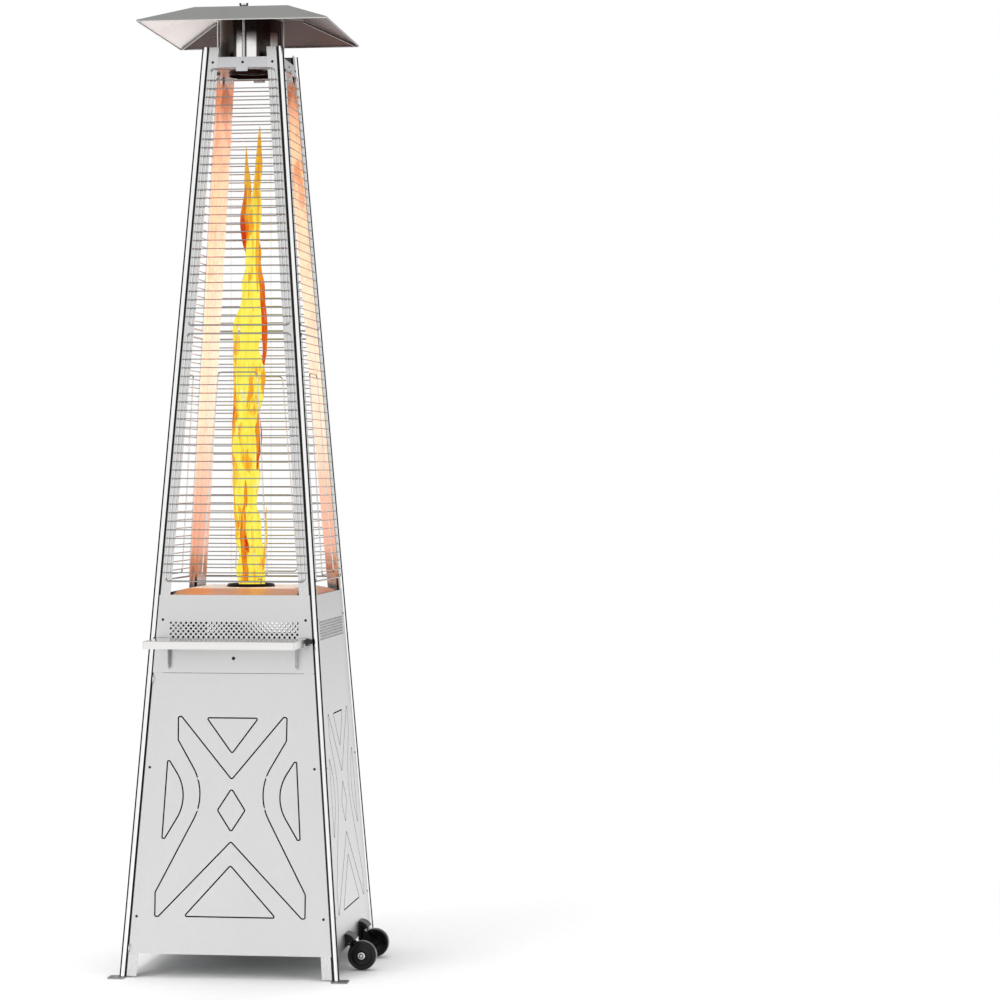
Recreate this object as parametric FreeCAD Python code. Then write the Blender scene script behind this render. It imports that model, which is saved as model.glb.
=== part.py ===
"""Pyramid patio heater with a glass flame tube: every piece as its own STEP file.

Millimetres, +Z up.  The origin is on the floor, at the centre of the four feet.
The front (-Y) carries the shelf and the door, the right side (+X) carries the wheels.
The four sides lean in by the same taper, so most sheet parts are drawn flat in a
face frame and then leaned back onto their side of the pyramid.
"""
import FreeCAD, Part
import math
import os
from FreeCAD import Vector

# ---- driving dimensions -------------------------------------------------------------
POST_HALF_BASE = 251.8      # post centre line to the middle plane, at the floor
POST_HALF_TOP = 89.8        # the same at the post's top end
POST_TOP = 2177.0
POST_BOTTOM = 3.0
BEAD_R = 7.5                # round corner bead of a post
BEAD_BORE_R = 5.6
FLUTE_R = 1.1
FLANGE_REACH = 33.0         # bead centre to the free edge of a flange
FLANGE_OUT = 2.0            # outer face of a flange, outboard of the bead centre
FLANGE_T = 1.2

PANEL_OUT = 3.0             # outer face of a panel, outboard of the bead centre
PANEL_T = 0.9
PANEL_EDGE = 8.0            # bead centre to a panel's side edge
PANEL_BOTTOM = 55.7
PANEL_TOP = 886.0
SEAM = 704.4                # between the door and the control panel
SEAM_GAP = 1.0
RETURN_DEPTH = 12.0

SCREW_INSET = 21.0          # bead centre to a screw
SCREW_ROWS = (141.0, 485.0, 828.0)
BAND_SCREW_Z = 2141.0
CATCH_SCREW_Z = 739.0
SCREW_R = 2.0
SCREW_HOLE_R = 2.15
SCREW_HEAD_R = 3.2
CATCH_HEAD_R = 4.2

VENT_MID = 801.2            # perforated band
VENT_ROWS = 7
VENT_ROW_PITCH = 6.55
VENT_PITCH = 12.0
VENT_COLUMNS = 25
VENT_HOLE_R = 2.9

GROOVE_R = 2.6              # round tool that presses the decorative lines
GROOVE_DEPTH = 0.6

DECK_TOP = 899.4
DECK_FLAT_HALF = 124.0
DECK_HALF = 183.0
DECK_T = 1.2
DECK_NOTCH = 150.0
DECK_HOLE_R = 47.0
PROBE_X = 28.0              # igniter electrode and thermocouple
PROBE_Y = 18.0
PROBE_SLEEVE_R = 3.0

TUBE_R = 50.0
TUBE_T = 2.5
TUBE_TOP = 2125.0

GUARD_OUT = 4.2             # centre plane of the guard frames
GUARD_INSET = 17.5          # bead centre to the guard's side wires
GUARD_BOTTOM = 917.5
GUARD_SPLIT = 1498.0
GUARD_PITCH = 20.0
GUARD_TOP = 2125.0
FRAME_WIRE_R = 2.0
CROSS_WIRE_R = 1.25
LOOP_WIRE_R = 1.5

BAND_BOTTOM = 2129.0
BAND_TOP = 2153.6
BAND_OUT = 0.75
BAND_T = 1.2
TOP_PLATE_T = 1.5
TOP_HOLE_R = 47.5

CHIMNEY_R = 74.0
CHIMNEY_T = 1.0
CHIMNEY_TOP = 2250.0

HOOD_HALF = 224.3
HOOD_FLAT_HALF = 111.7
HOOD_LIP = 2220.0
HOOD_HEM = 4.0
HOOD_TOP = 2270.0
HOOD_T = 1.0
ROD_OFFSET = 79.0
ROD_R = 3.0
ROD_TOP = 2281.0

SHELF_HALF = 176.0
SHELF_TOP = 787.0
SHELF_EDGE = 18.0
SHELF_REAR = 217.6
SHELF_FRONT = 364.3
SHELF_T = 1.0
SHELF_PIVOT_Y = -212.0
SHELF_PIVOT_Z = 779.0
SHELF_PIN_R = 3.0
BRACKET_X = 152.0
BRACKET_BOTTOM = 714.0

HINGE_INSET = 10.5          # bead centre to the door's hinge line
HINGE_OUT = 1.4             # hinge line in front of the panels' outer face
HINGE_PIN_R = 1.2
KNUCKLE_R = 2.2
KNUCKLE_L = 9.0
HINGE_LUG_L = 5.0
HINGE_GAP = 0.5
HINGE_HEIGHTS = (62.5, 685.0)

WHEEL_X = 285.5
WHEEL_Z = 35.5
WHEEL_R = 34.0
WHEEL_Y = 92.0
WHEEL_W = 24.0
AXLE_R = 4.0

KNOB_Z = 745.0
STEM_R = 4.0
VALVE_DROP = 24.0           # valve body below the stem
INLET_R = 7.94
INLET_BORE_R = 3.0
IGNITER_X = 62.0

FOOT_HALF = 19.0
FOOT_OUT = 10.5             # foot centre outboard of the bead centre
ANCHOR_OUT = 19.0
ANCHOR_R = 4.0

RUNNING = 0.05              # radial clearance of a turning fit

TAPER = (POST_HALF_BASE - POST_HALF_TOP) / POST_TOP
LEAN = math.atan(TAPER)
ORIGIN = Vector(0, 0, 0)
X = Vector(1, 0, 0)
Y = Vector(0, 1, 0)
Z = Vector(0, 0, 1)
FRONT, RIGHT, BACK, LEFT = range(4)
SIDES = {"front": FRONT, "right": RIGHT, "back": BACK, "left": LEFT}
CORNERS = {"front_right": 0, "back_right": 1, "back_left": 2, "front_left": 3}


# ---- helpers ------------------------------------------------------------------------
def save(name, shape):
    """Write one node, checking that it is closed and valid."""
    if shape.isNull() or not shape.isValid():
        raise ValueError("bad shape: " + name)
    shape.exportStep("parts/" + name + ".step")


def half_width(z):
    """Distance from the middle plane to the post centre line at a height."""
    return POST_HALF_BASE - TAPER * z


def turned(shape, quarter):
    """A copy turned from the front side to another side or corner."""
    copy = shape.copy()
    copy.rotate(ORIGIN, Z, 90 * quarter)
    return copy


def leaned(shape, out, side=FRONT):
    """Carry a shape from the flat face frame onto a side of the pyramid.

    Face frame: X across, Z up the slope, Y inwards with the outer face at Y = 0.
    """
    copy = shape.copy()
    copy.rotate(ORIGIN, X, -math.degrees(LEAN))
    copy.translate(Vector(0, -(POST_HALF_BASE + out), 0))
    return turned(copy, side)


def up(z):
    """Distance up the slope for a real height."""
    return z / math.cos(LEAN)


def flat(x, z, y=0.0):
    """Face-frame point at a real height."""
    return Vector(x, y, up(z))


def prism(points, depth):
    """Solid from a closed outline of points and an extrusion vector."""
    return Part.Face(Part.makePolygon(points + [points[0]])).extrude(depth)


def box(x0, x1, y0, y1, z0, z1):
    return Part.makeBox(x1 - x0, y1 - y0, z1 - z0, Vector(x0, y0, z0))


def cylinder(r, start, axis, length):
    return Part.makeCylinder(r, length, start, axis)


def ring(outer, inner, start, axis, length):
    return cylinder(outer, start, axis, length).cut(cylinder(inner, start, axis, length))


def revolved(points, axis_point, axis):
    """Solid of revolution from a closed outline."""
    face = Part.Face(Part.makePolygon(points + [points[0]]))
    return face.revolve(axis_point, axis, 360)


def rounded_loop(points, radii):
    """Closed wire of lines and tangent arcs through corner points, one radius each."""
    n = len(points)
    starts, ends, mids = [], [], []
    for i in range(n):
        before = (points[i - 1] - points[i]).normalize()
        after = (points[(i + 1) % n] - points[i]).normalize()
        half_turn = before.getAngle(after) / 2
        reach = radii[i] / math.tan(half_turn)
        starts.append(points[i] + before * reach)
        ends.append(points[i] + after * reach)
        bisector = (before + after).normalize()
        mids.append(points[i] + bisector * (radii[i] / math.sin(half_turn) - radii[i]))
    edges = []
    for i in range(n):
        edges.append(Part.Arc(starts[i], mids[i], ends[i]).toShape())
        edges.append(Part.LineSegment(ends[i], starts[(i + 1) % n]).toShape())
    return Part.Wire(edges)


def tube_along(wire, r):
    """Round bar whose centre line is a closed wire with tangent arcs."""
    first = wire.Edges[1]
    start = first.Vertexes[0].Point
    along = first.Vertexes[1].Point - start
    circle = Part.Wire(Part.makeCircle(r, start, along))
    sweep = Part.BRepOffsetAPI.MakePipeShell(reordered(wire))
    sweep.add(circle)
    sweep.build()
    sweep.makeSolid()
    return sweep.shape()


def reordered(wire):
    """The same closed wire starting at its first straight run."""
    edges = wire.Edges
    return Part.Wire(edges[1:] + edges[:1])


def fused(shapes):
    return shapes[0].multiFuse(shapes[1:]).removeSplitter()


# ---- posts and feet -----------------------------------------------------------------
def post():
    """Corner post for the front right: a fluted round bead with two flat flanges."""
    height = POST_TOP - POST_BOTTOM
    a = half_width(POST_BOTTOM)
    centre = Vector(a, -a, POST_BOTTOM)
    sweep = Vector(-TAPER * height, TAPER * height, height)
    flute_at = centre + Vector(1, -1, 0).normalize() * BEAD_R

    def slanted(wire):
        return Part.Face(wire).extrude(sweep)

    def circle(r, at):
        return Part.Wire(Part.makeCircle(r, at, Z))

    def strip(x0, x1, y0, y1):
        corners = [(x0, y0), (x1, y0), (x1, y1), (x0, y1), (x0, y0)]
        return Part.makePolygon([centre + Vector(x, y, 0) for x, y in corners])

    root = BEAD_R - 1.0
    front = slanted(strip(-FLANGE_REACH, -root, -FLANGE_OUT, FLANGE_T - FLANGE_OUT))
    side = slanted(strip(FLANGE_OUT - FLANGE_T, FLANGE_OUT, root, FLANGE_REACH))
    body = fused([slanted(circle(BEAD_R, centre)), front, side])
    body = body.cut(slanted(circle(BEAD_BORE_R, centre)))
    body = body.cut(slanted(circle(FLUTE_R, flute_at)))
    holes = []
    for z in SCREW_ROWS + (BAND_SCREW_Z,):
        at = flat(half_width(z) - SCREW_INSET, z, -5)
        pin = cylinder(SCREW_HOLE_R, at, Y, 15)
        holes.append(leaned(pin, PANEL_OUT))
        at.x = -at.x
        holes.append(leaned(cylinder(SCREW_HOLE_R, at, Y, 15), PANEL_OUT, RIGHT))
    return body.cut(Part.makeCompound(holes))


def foot_plate():
    """Thin square floor plate under the front right post, with an anchor hole."""
    a = half_width(0) + FOOT_OUT
    plate = box(a - FOOT_HALF, a + FOOT_HALF, -a - FOOT_HALF, -a + FOOT_HALF, 0, POST_BOTTOM)
    upright = [e for e in plate.Edges if abs(e.tangentAt(e.FirstParameter).z) > 0.9]
    plate = plate.makeFillet(4, upright)
    anchor = half_width(0) + ANCHOR_OUT
    return plate.cut(cylinder(ANCHOR_R, Vector(anchor, -anchor, -1), Z, 6))


# ---- side panels --------------------------------------------------------------------
def vent_holes():
    """Staggered rows of round holes, as wires in the face frame."""
    wires = []
    for row in range(VENT_ROWS):
        z = VENT_MID + (row - (VENT_ROWS - 1) / 2) * VENT_ROW_PITCH
        count = VENT_COLUMNS + (row + 1) % 2
        for column in range(count):
            x = (column - (count - 1) / 2) * VENT_PITCH
            wires.append(Part.Wire(Part.makeCircle(VENT_HOLE_R, flat(x, z), Y)))
    return wires


def pressed_lines():
    """Round bars that cut the decorative lines: an X, two triangles, a diamond, two Ds."""
    y = GROOVE_DEPTH - GROOVE_R

    def mirror(points):
        return [(-x, z) for x, z in reversed(points)]

    arm = [(0, 459), (-121, 604), (-128.5, 602), (-128, 549), (-57, 427), (-177, 197),
           (-177, 142), (-169, 141.5), (0, 316)]
    arm_radii = [4, 4, 3, 10, 125, 10, 3, 4, 4]
    big_x = arm + mirror(arm[1:-1])
    big_x_radii = arm_radii + list(reversed(arm_radii[1:-1]))
    left_d = [(-147, 500), (-97, 421), (-157, 321), (-163, 322), (-152.5, 501)]
    loops = [
        (big_x, big_x_radii),
        ([(-61, 601), (61, 601), (0, 519)], [3, 3, 4]),
        ([(0, 261), (-108, 142.5), (108, 142.5)], [4, 3, 3]),
        ([(0, 438), (-32.5, 388), (0, 338), (32.5, 388)], [4, 5, 4, 5]),
        (left_d, [2.5, 100, 2.5, 2.5, 2.5]),
        (mirror(left_d), [2.5, 2.5, 2.5, 100, 2.5]),
    ]
    bars = []
    for points, radii in loops:
        wire = rounded_loop([flat(x, z, y) for x, z in points], radii)
        bars.append(tube_along(wire, GROOVE_R))
    return Part.makeCompound(bars)


def sheet(bottom, top, left_edge=PANEL_EDGE, holes=()):
    """Leaning side sheet in the face frame, between two heights."""
    def edge(z, inset):
        return half_width(z) - inset

    corners = [flat(-edge(bottom, left_edge), bottom), flat(edge(bottom, PANEL_EDGE), bottom),
               flat(edge(top, PANEL_EDGE), top), flat(-edge(top, left_edge), top)]
    outline = Part.makePolygon(corners + [corners[0]])
    return Part.Face([outline] + list(holes)).extrude(Vector(0, PANEL_T, 0))


def screw_hole_wires(rows):
    wires = []
    for z in rows:
        for side in (-1, 1):
            x = side * (half_width(z) - SCREW_INSET)
            wires.append(Part.Wire(Part.makeCircle(SCREW_HOLE_R, flat(x, z), Y)))
    return wires


def edge_return(z, top_side):
    """Strip folded inwards along a panel's bottom or top edge."""
    reach = half_width(z) - FLANGE_REACH - 4
    low = up(z) - (PANEL_T if top_side else 0)
    return box(-reach, reach, 0, RETURN_DEPTH, low, low + PANEL_T)


def side_panel(lines, extra_holes=()):
    """Full-height side panel: vents, pressed lines, folded bottom edge."""
    holes = vent_holes() + screw_hole_wires(SCREW_ROWS) + list(extra_holes)
    body = sheet(PANEL_BOTTOM, PANEL_TOP, holes=holes)
    body = body.fuse(edge_return(PANEL_BOTTOM, False))
    return body.cut(lines)


def control_holes():
    """Openings for the valve stem and the igniter in the left panel."""
    return [Part.Wire(Part.makeCircle(6, flat(0, KNOB_Z), Y)),
            Part.Wire(Part.makeCircle(7.5, flat(IGNITER_X, KNOB_Z), Y))]


def shelf_panel():
    """Upper front panel behind the shelf, with vents and the catch's screw hole."""
    catch = Part.Wire(Part.makeCircle(SCREW_HOLE_R, flat(0, CATCH_SCREW_Z), Y))
    holes = vent_holes() + screw_hole_wires(SCREW_ROWS[2:]) + [catch]
    return sheet(SEAM + SEAM_GAP / 2, PANEL_TOP, holes=holes)


def hinge_line(z):
    """Face-frame point on the door's hinge line."""
    return flat(-(half_width(z) - HINGE_INSET), z, -HINGE_OUT)


def front_door(lines):
    """Lower front panel: swings on two small knuckles beside the left post."""
    top = SEAM - SEAM_GAP / 2
    gap = HINGE_INSET + 1.5
    holes = screw_hole_wires(SCREW_ROWS[:2])
    body = sheet(PANEL_BOTTOM, top, left_edge=gap, holes=holes)
    body = body.fuse([edge_return(PANEL_BOTTOM, False), edge_return(top, True)]).cut(lines)
    for z in HINGE_HEIGHTS:
        start = hinge_line(z)
        end = hinge_line(z + KNUCKLE_L)
        along = (end - start).normalize()
        lug = cylinder(KNUCKLE_R, start, along, KNUCKLE_L)
        leaf = prism([start, start + Vector(5, 0, 0), end + Vector(5, 0, 0), end],
                     Vector(0, HINGE_OUT + PANEL_T, 0))
        body = body.fuse([lug, leaf])
        body = body.cut(cylinder(HINGE_PIN_R + RUNNING, start - along * 20, along, 80))
    return body


def door_hinge_pins():
    """Two pins with a lug at each end, fixed to the left post's front flange."""
    pins = []
    for z in HINGE_HEIGHTS:
        low = hinge_line(z - HINGE_GAP - HINGE_LUG_L)
        high = hinge_line(z + KNUCKLE_L + HINGE_GAP + HINGE_LUG_L)
        along = (high - low).normalize()
        pin = cylinder(HINGE_PIN_R, low, along, (high - low).Length)
        pieces = [pin]
        for start in (z - HINGE_GAP - HINGE_LUG_L, z + KNUCKLE_L + HINGE_GAP):
            a = hinge_line(start)
            b = hinge_line(start + HINGE_LUG_L)
            depth = Vector(0, HINGE_OUT + PANEL_OUT - FLANGE_OUT - 0.02, 0)
            wide = Vector(1.3, 0, 0)
            pieces.append(prism([a - wide, a + wide, b + wide, b - wide], depth))
            pieces.append(cylinder(KNUCKLE_R - 0.15, a, along, (b - a).Length))
        pins.append(leaned(fused(pieces), PANEL_OUT))
    return Part.makeCompound(pins)


# ---- fasteners ----------------------------------------------------------------------
def pan_screw(grip, head_r):
    """Pan-head screw along +Y in the face frame, its head seated at Y = 0."""
    head_h = head_r / 2
    dome_r = (head_r ** 2 + head_h ** 2) / (2 * head_h)
    dome = Part.makeSphere(dome_r, Vector(0, dome_r - head_h, 0))
    dome = dome.common(box(-head_r, head_r, -head_h, 0, -head_r, head_r))
    shank = cylinder(SCREW_R, Vector(0, -0.5, 0), Y, grip + 0.5)
    arm = head_r * 0.6
    slot = box(-arm, arm, -head_h - 1, -head_h + 0.8, -0.4, 0.4)
    cross = box(-0.4, 0.4, -head_h - 1, -head_h + 0.8, -arm, arm)
    return dome.fuse(shank).cut(slot).cut(cross)


def screw_at(x, z, out, side, grip=7.0, head_r=SCREW_HEAD_R):
    screw = pan_screw(grip, head_r)
    screw.translate(flat(x, z))
    return leaned(screw, out, side)


def panel_screws():
    """All fixed screws: panels, top band and catch."""
    screws = []
    for side in (FRONT, RIGHT, BACK, LEFT):
        rows = SCREW_ROWS[2:] if side == FRONT else SCREW_ROWS
        for sign in (-1, 1):
            for z in rows:
                x = sign * (half_width(z) - SCREW_INSET)
                screws.append(screw_at(x, z, PANEL_OUT, side))
            x = sign * (half_width(BAND_SCREW_Z) - SCREW_INSET)
            screws.append(screw_at(x, BAND_SCREW_Z, FLANGE_OUT, side))
        screws.append(screw_at(0, BAND_SCREW_Z, BAND_OUT, side, 2))
    screws.append(screw_at(0, CATCH_SCREW_Z, PANEL_OUT, FRONT, 4, CATCH_HEAD_R))
    return Part.makeCompound(screws)


def door_screws():
    """Short screws that ride with the door: hinge leaves and striker plates."""
    screws = []
    for sign in (-1, 1):
        for z in SCREW_ROWS[:2]:
            x = sign * (half_width(z) - SCREW_INSET)
            screws.append(screw_at(x, z, PANEL_OUT, FRONT, PANEL_T))
    return Part.makeCompound(screws)


# ---- burner deck, burner and glass --------------------------------------------------
def frustum(low_half, low_z, high_half, high_z):
    """Square frustum about the axis."""
    def square(h, z):
        return Part.makePolygon([Vector(-h, -h, z), Vector(h, -h, z), Vector(h, h, z),
                                 Vector(-h, h, z), Vector(-h, -h, z)])

    return Part.makeLoft([square(low_half, low_z), square(high_half, high_z)], True, True)


def burner_deck():
    """Shallow sloping deck with a skirt, notched round the posts, holed for the burner."""
    rim_z = PANEL_TOP
    skirt = 14.0
    outer = frustum(DECK_HALF, rim_z, DECK_FLAT_HALF, DECK_TOP)
    outer = outer.fuse(box(-DECK_HALF, DECK_HALF, -DECK_HALF, DECK_HALF, rim_z - skirt, rim_z))
    inner_half = DECK_HALF - DECK_T
    inner = frustum(inner_half, rim_z - DECK_T, DECK_FLAT_HALF - 0.3, DECK_TOP - DECK_T)
    inner = inner.fuse(box(-inner_half, inner_half, -inner_half, inner_half,
                           rim_z - skirt - 1, rim_z - DECK_T))
    deck = outer.cut(inner)
    for quarter in range(4):
        notch = box(DECK_NOTCH, DECK_HALF + 5, -DECK_HALF - 5, -DECK_NOTCH, rim_z - 30, DECK_TOP)
        deck = deck.cut(turned(notch, quarter))
    return deck.cut(cylinder(DECK_HOLE_R, Vector(0, 0, DECK_TOP - 5), Z, 10))


def burner_cup():
    """Mixing cup hung under the deck by its rim, with a gas inlet in its floor."""
    rim_top = DECK_TOP - DECK_T
    r, wall, depth, rim_r = 44.0, 1.2, 42.0, 56.0
    floor_z = rim_top - depth
    points = [(8, floor_z), (r, floor_z), (r, rim_top - wall), (rim_r, rim_top - wall),
              (rim_r, rim_top), (r - wall, rim_top), (r - wall, floor_z + wall),
              (8, floor_z + wall)]
    return revolved([Vector(x, 0, z) for x, z in points], ORIGIN, Z)


def burner_gauze():
    """Domed woven-steel flame holder inside the cup."""
    dome_r, cap_r, t = 120.0, 42.6, 0.8
    top_z = DECK_TOP - 2
    centre = Vector(0, 0, top_z - dome_r)
    shell = Part.makeSphere(dome_r, centre).cut(Part.makeSphere(dome_r - t, centre))
    dome = shell.common(cylinder(cap_r, Vector(0, 0, top_z - 20), Z, 30))
    holes = [cylinder(PROBE_SLEEVE_R + 0.3, Vector(PROBE_X, y, top_z - 20), Z, 30)
             for y in (-PROBE_Y, PROBE_Y)]
    return dome.cut(Part.makeCompound(holes))


def probe(y, top):
    """Thin rod up through the gauze, in a ceramic sleeve, its tip bent to the middle."""
    low = DECK_TOP - 38
    rod = cylinder(1.2, Vector(PROBE_X, y, low), Z, top - low)
    sleeve = cylinder(PROBE_SLEEVE_R, Vector(PROBE_X, y, low), Z, 32)
    tip = cylinder(0.9, Vector(PROBE_X, y, top - 2.4), -X, 8)
    return fused([rod, sleeve, tip])


def glass_tube():
    return ring(TUBE_R, TUBE_R - TUBE_T, Vector(0, 0, DECK_TOP), Z, TUBE_TOP - DECK_TOP)


def tube_seat():
    """Ring on the deck that locates the foot of the glass."""
    points = [(TUBE_R + 0.4, 0), (TUBE_R + 8, 0), (TUBE_R + 7, 3.5), (TUBE_R + 4.5, 7),
              (TUBE_R + 0.4, 7)]
    return revolved([Vector(r, 0, DECK_TOP + z) for r, z in points], ORIGIN, Z)


def tube_collar():
    """Ring under the top plate that holds the head of the glass."""
    top = BAND_BOTTOM
    cap = ring(TUBE_R + 3, TOP_HOLE_R, Vector(0, 0, top - 1.5), Z, 1.5)
    wall = ring(TUBE_R + 1.7, TUBE_R + 0.5, Vector(0, 0, top - 10), Z, 9)
    return cap.fuse(wall)


# ---- wire guards --------------------------------------------------------------------
def wire_loop(corners, radius, r):
    return tube_along(rounded_loop([flat(x, z) for x, z in corners], [radius] * 4), r)


def straight_wire(x0, z0, x1, z1, r, y=0.0):
    start = flat(x0, z0, y)
    end = flat(x1, z1, y)
    return cylinder(r, start, end - start, (end - start).Length)


def guard(bottom, top, cross_heights, with_loop):
    """Welded wire screen in the face frame: frame, two inner uprights, cross wires."""
    def edge(z):
        return half_width(z) - GUARD_INSET

    pieces = [wire_loop([(-edge(bottom), bottom), (edge(bottom), bottom),
                         (edge(top), top), (-edge(top), top)], 9, FRAME_WIRE_R)]
    inner = 9.0
    cross_y = -(FRAME_WIRE_R + CROSS_WIRE_R - 0.7)
    for sign in (-1, 1):
        pieces.append(straight_wire(sign * (edge(bottom) - inner), bottom,
                                    sign * (edge(top) - inner), top, CROSS_WIRE_R + 0.2))
    overhang = 5.5
    for z in cross_heights:
        reach = edge(z) + overhang
        pieces.append(straight_wire(-reach, z, reach, z, CROSS_WIRE_R, cross_y))
    if with_loop:
        low, high = 929.5, 1407.0
        loop = wire_loop([(-77.8, low), (77.8, low), (46.5, high), (-46.5, high)], 10,
                         LOOP_WIRE_R)
        pieces.append(loop)
    return fused(pieces)


def guard_heights(bottom, top):
    """Heights of the cross wires between a frame's bottom and top wires."""
    count = int((top - bottom) / GUARD_PITCH)
    return [bottom + GUARD_PITCH * i for i in range(1, count)]


# ---- top frame, chimney and hood ----------------------------------------------------
def top_plate():
    """Square plate with four leaning bands, a hole for the tube and guard hooks."""
    half = half_width(BAND_BOTTOM) + 0.2
    z0 = BAND_BOTTOM
    plate = box(-half, half, -half, half, z0, z0 + TOP_PLATE_T)
    band = [flat(-(half_width(z0) - 10), z0), flat(half_width(z0) - 10, z0),
            flat(half_width(BAND_TOP) - 10, BAND_TOP), flat(-(half_width(BAND_TOP) - 10), BAND_TOP)]
    band = prism(band, Vector(0, BAND_T, 0))
    hole = cylinder(SCREW_HOLE_R, flat(0, BAND_SCREW_Z, -1), Y, 4)
    for sign in (-1, 1):
        at = flat(sign * (half_width(BAND_SCREW_Z) - SCREW_INSET), BAND_SCREW_Z, -1)
        hole = hole.fuse(cylinder(SCREW_HOLE_R, at, Y, 4))
    hook_half, hook_out, hook_drop = 14.0, 8.0, 11.0
    hook = box(-hook_half, hook_half, -hook_out, BAND_T, up(z0), up(z0) + BAND_T)
    lip = box(-hook_half, hook_half, -hook_out, BAND_T - hook_out, up(z0) - hook_drop, up(z0) + BAND_T)
    flange = band.cut(hole).fuse([hook, lip])
    pieces = [plate] + [leaned(flange, BAND_OUT, side) for side in SIDES.values()]
    body = fused(pieces)
    corner = half_width(z0) - BEAD_R - 1.5
    cuts = [turned(box(corner, half + 5, -half - 5, -corner, z0 - 5, z0 + 5), q) for q in range(4)]
    cuts.append(cylinder(TOP_HOLE_R, Vector(0, 0, z0 - 1), Z, 5))
    cuts += [turned(cylinder(ROD_R + 0.1, Vector(0, -ROD_OFFSET, z0 - 1), Z, 5), q)
             for q in range(4)]
    return body.cut(Part.makeCompound(cuts))


def chimney():
    """Round exhaust sleeve with a foot flange turned in on the top plate."""
    z0 = BAND_BOTTOM + TOP_PLATE_T
    r, t, foot = CHIMNEY_R, CHIMNEY_T, 62.0
    points = [(foot, z0), (r, z0), (r, CHIMNEY_TOP), (r - t, CHIMNEY_TOP),
              (r - t, z0 + 1.2), (foot, z0 + 1.2)]
    return revolved([Vector(x, 0, z) for x, z in points], ORIGIN, Z)


def hood():
    """Square heat reflector: hemmed lip, four slopes, flat top, welded hip seams."""
    lip_top = HOOD_LIP + HOOD_HEM
    h = HOOD_HALF
    outer = box(-h, h, -h, h, HOOD_LIP, lip_top)
    outer = outer.fuse(frustum(h, lip_top, HOOD_FLAT_HALF, HOOD_TOP))
    i = h - HOOD_T
    drop = HOOD_T * 1.09
    flat_half = HOOD_FLAT_HALF - 0.2
    inner = box(-i, i, -i, i, HOOD_LIP - 1, lip_top - drop + 0.4)
    inner = inner.fuse(frustum(i, lip_top - drop + 0.4, flat_half, HOOD_TOP - HOOD_T))
    body = outer.cut(inner)
    seams = []
    for quarter in range(4):
        a = Vector(h - 8, -(h - 8), lip_top + 1.6)
        b = Vector(HOOD_FLAT_HALF - 4, -(HOOD_FLAT_HALF - 4), HOOD_TOP - 0.5)
        across = Vector(1, 1, 0).normalize() * 1.0
        drop_by = Vector(0, 0, -6)
        seam = prism([a - across, b - across, b - across + drop_by, a - across + drop_by],
                     across * 2)
        seams.append(turned(seam, quarter))
    body = body.fuse(seams)
    holes = [turned(cylinder(ROD_R + 0.2, Vector(0, -ROD_OFFSET, HOOD_TOP - 5), Z, 10), q)
             for q in range(4)]
    return body.cut(Part.makeCompound(holes))


def hex_nut(across_flats, height, bore_r, at):
    r = across_flats / math.sqrt(3)
    points = [at + Vector(r * math.cos(math.radians(60 * i)), r * math.sin(math.radians(60 * i)), 0)
              for i in range(6)]
    nut = prism(points, Vector(0, 0, height))
    return nut.cut(cylinder(bore_r, at, Z, height))


def hood_rods():
    z0 = BAND_BOTTOM - 6
    return Part.makeCompound([turned(cylinder(ROD_R, Vector(0, -ROD_OFFSET, z0), Z, ROD_TOP - z0), q)
                              for q in range(4)])


def rod_nuts():
    """Nuts above and below the top plate, and under the hood, on each rod."""
    nuts = []
    for z in (BAND_BOTTOM - 5, BAND_BOTTOM + TOP_PLATE_T, HOOD_TOP - HOOD_T - 5):
        nuts.append(hex_nut(10, 5, ROD_R + 0.02, Vector(0, -ROD_OFFSET, z)))
    return Part.makeCompound([turned(n, q) for n in nuts for q in range(4)])


def wing_nuts():
    """Wing nuts on top of the hood."""
    z0 = HOOD_TOP
    hub = Part.makeCone(6, 4.6, 7, Vector(0, 0, z0), Z)
    wing = [Vector(3, -1.2, z0 + 1.5), Vector(8, -1.2, z0 + 3), Vector(11, -1.2, z0 + 9),
            Vector(10, -1.2, z0 + 12.5), Vector(7, -1.2, z0 + 13), Vector(5, -1.2, z0 + 8),
            Vector(2, -1.2, z0 + 6.5)]
    blade = prism(wing, Vector(0, 2.4, 0))
    other = blade.copy()
    other.rotate(ORIGIN, Z, 180)
    nut = hub.fuse([blade, other]).cut(cylinder(ROD_R + 0.02, Vector(0, 0, z0 - 1), Z, 30))
    nut.translate(Vector(0, -ROD_OFFSET, 0))
    return Part.makeCompound([turned(nut, q) for q in range(4)])


# ---- shelf --------------------------------------------------------------------------
def shelf():
    """Folded steel tray turned upside down: flat top, front and side edges."""
    z0, z1 = SHELF_TOP - SHELF_EDGE, SHELF_TOP
    outer = box(-SHELF_HALF, SHELF_HALF, -SHELF_FRONT, -SHELF_REAR, z0, z1)
    corner = [e for e in outer.Edges if abs(e.tangentAt(e.FirstParameter).z) > 0.9
              and e.CenterOfMass.y < -SHELF_FRONT + 1]
    outer = outer.makeFillet(5, corner)
    rim = [e for e in outer.Edges if abs(e.CenterOfMass.z - z1) < 0.01
           and e.CenterOfMass.y < -SHELF_REAR - 1]
    outer = outer.makeFillet(1.5, rim)
    t = SHELF_T
    hollow = box(-SHELF_HALF + t, SHELF_HALF - t, -SHELF_FRONT + t, -SHELF_REAR + 1, z0 - 1, z1 - t)
    return outer.cut(hollow)


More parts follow.
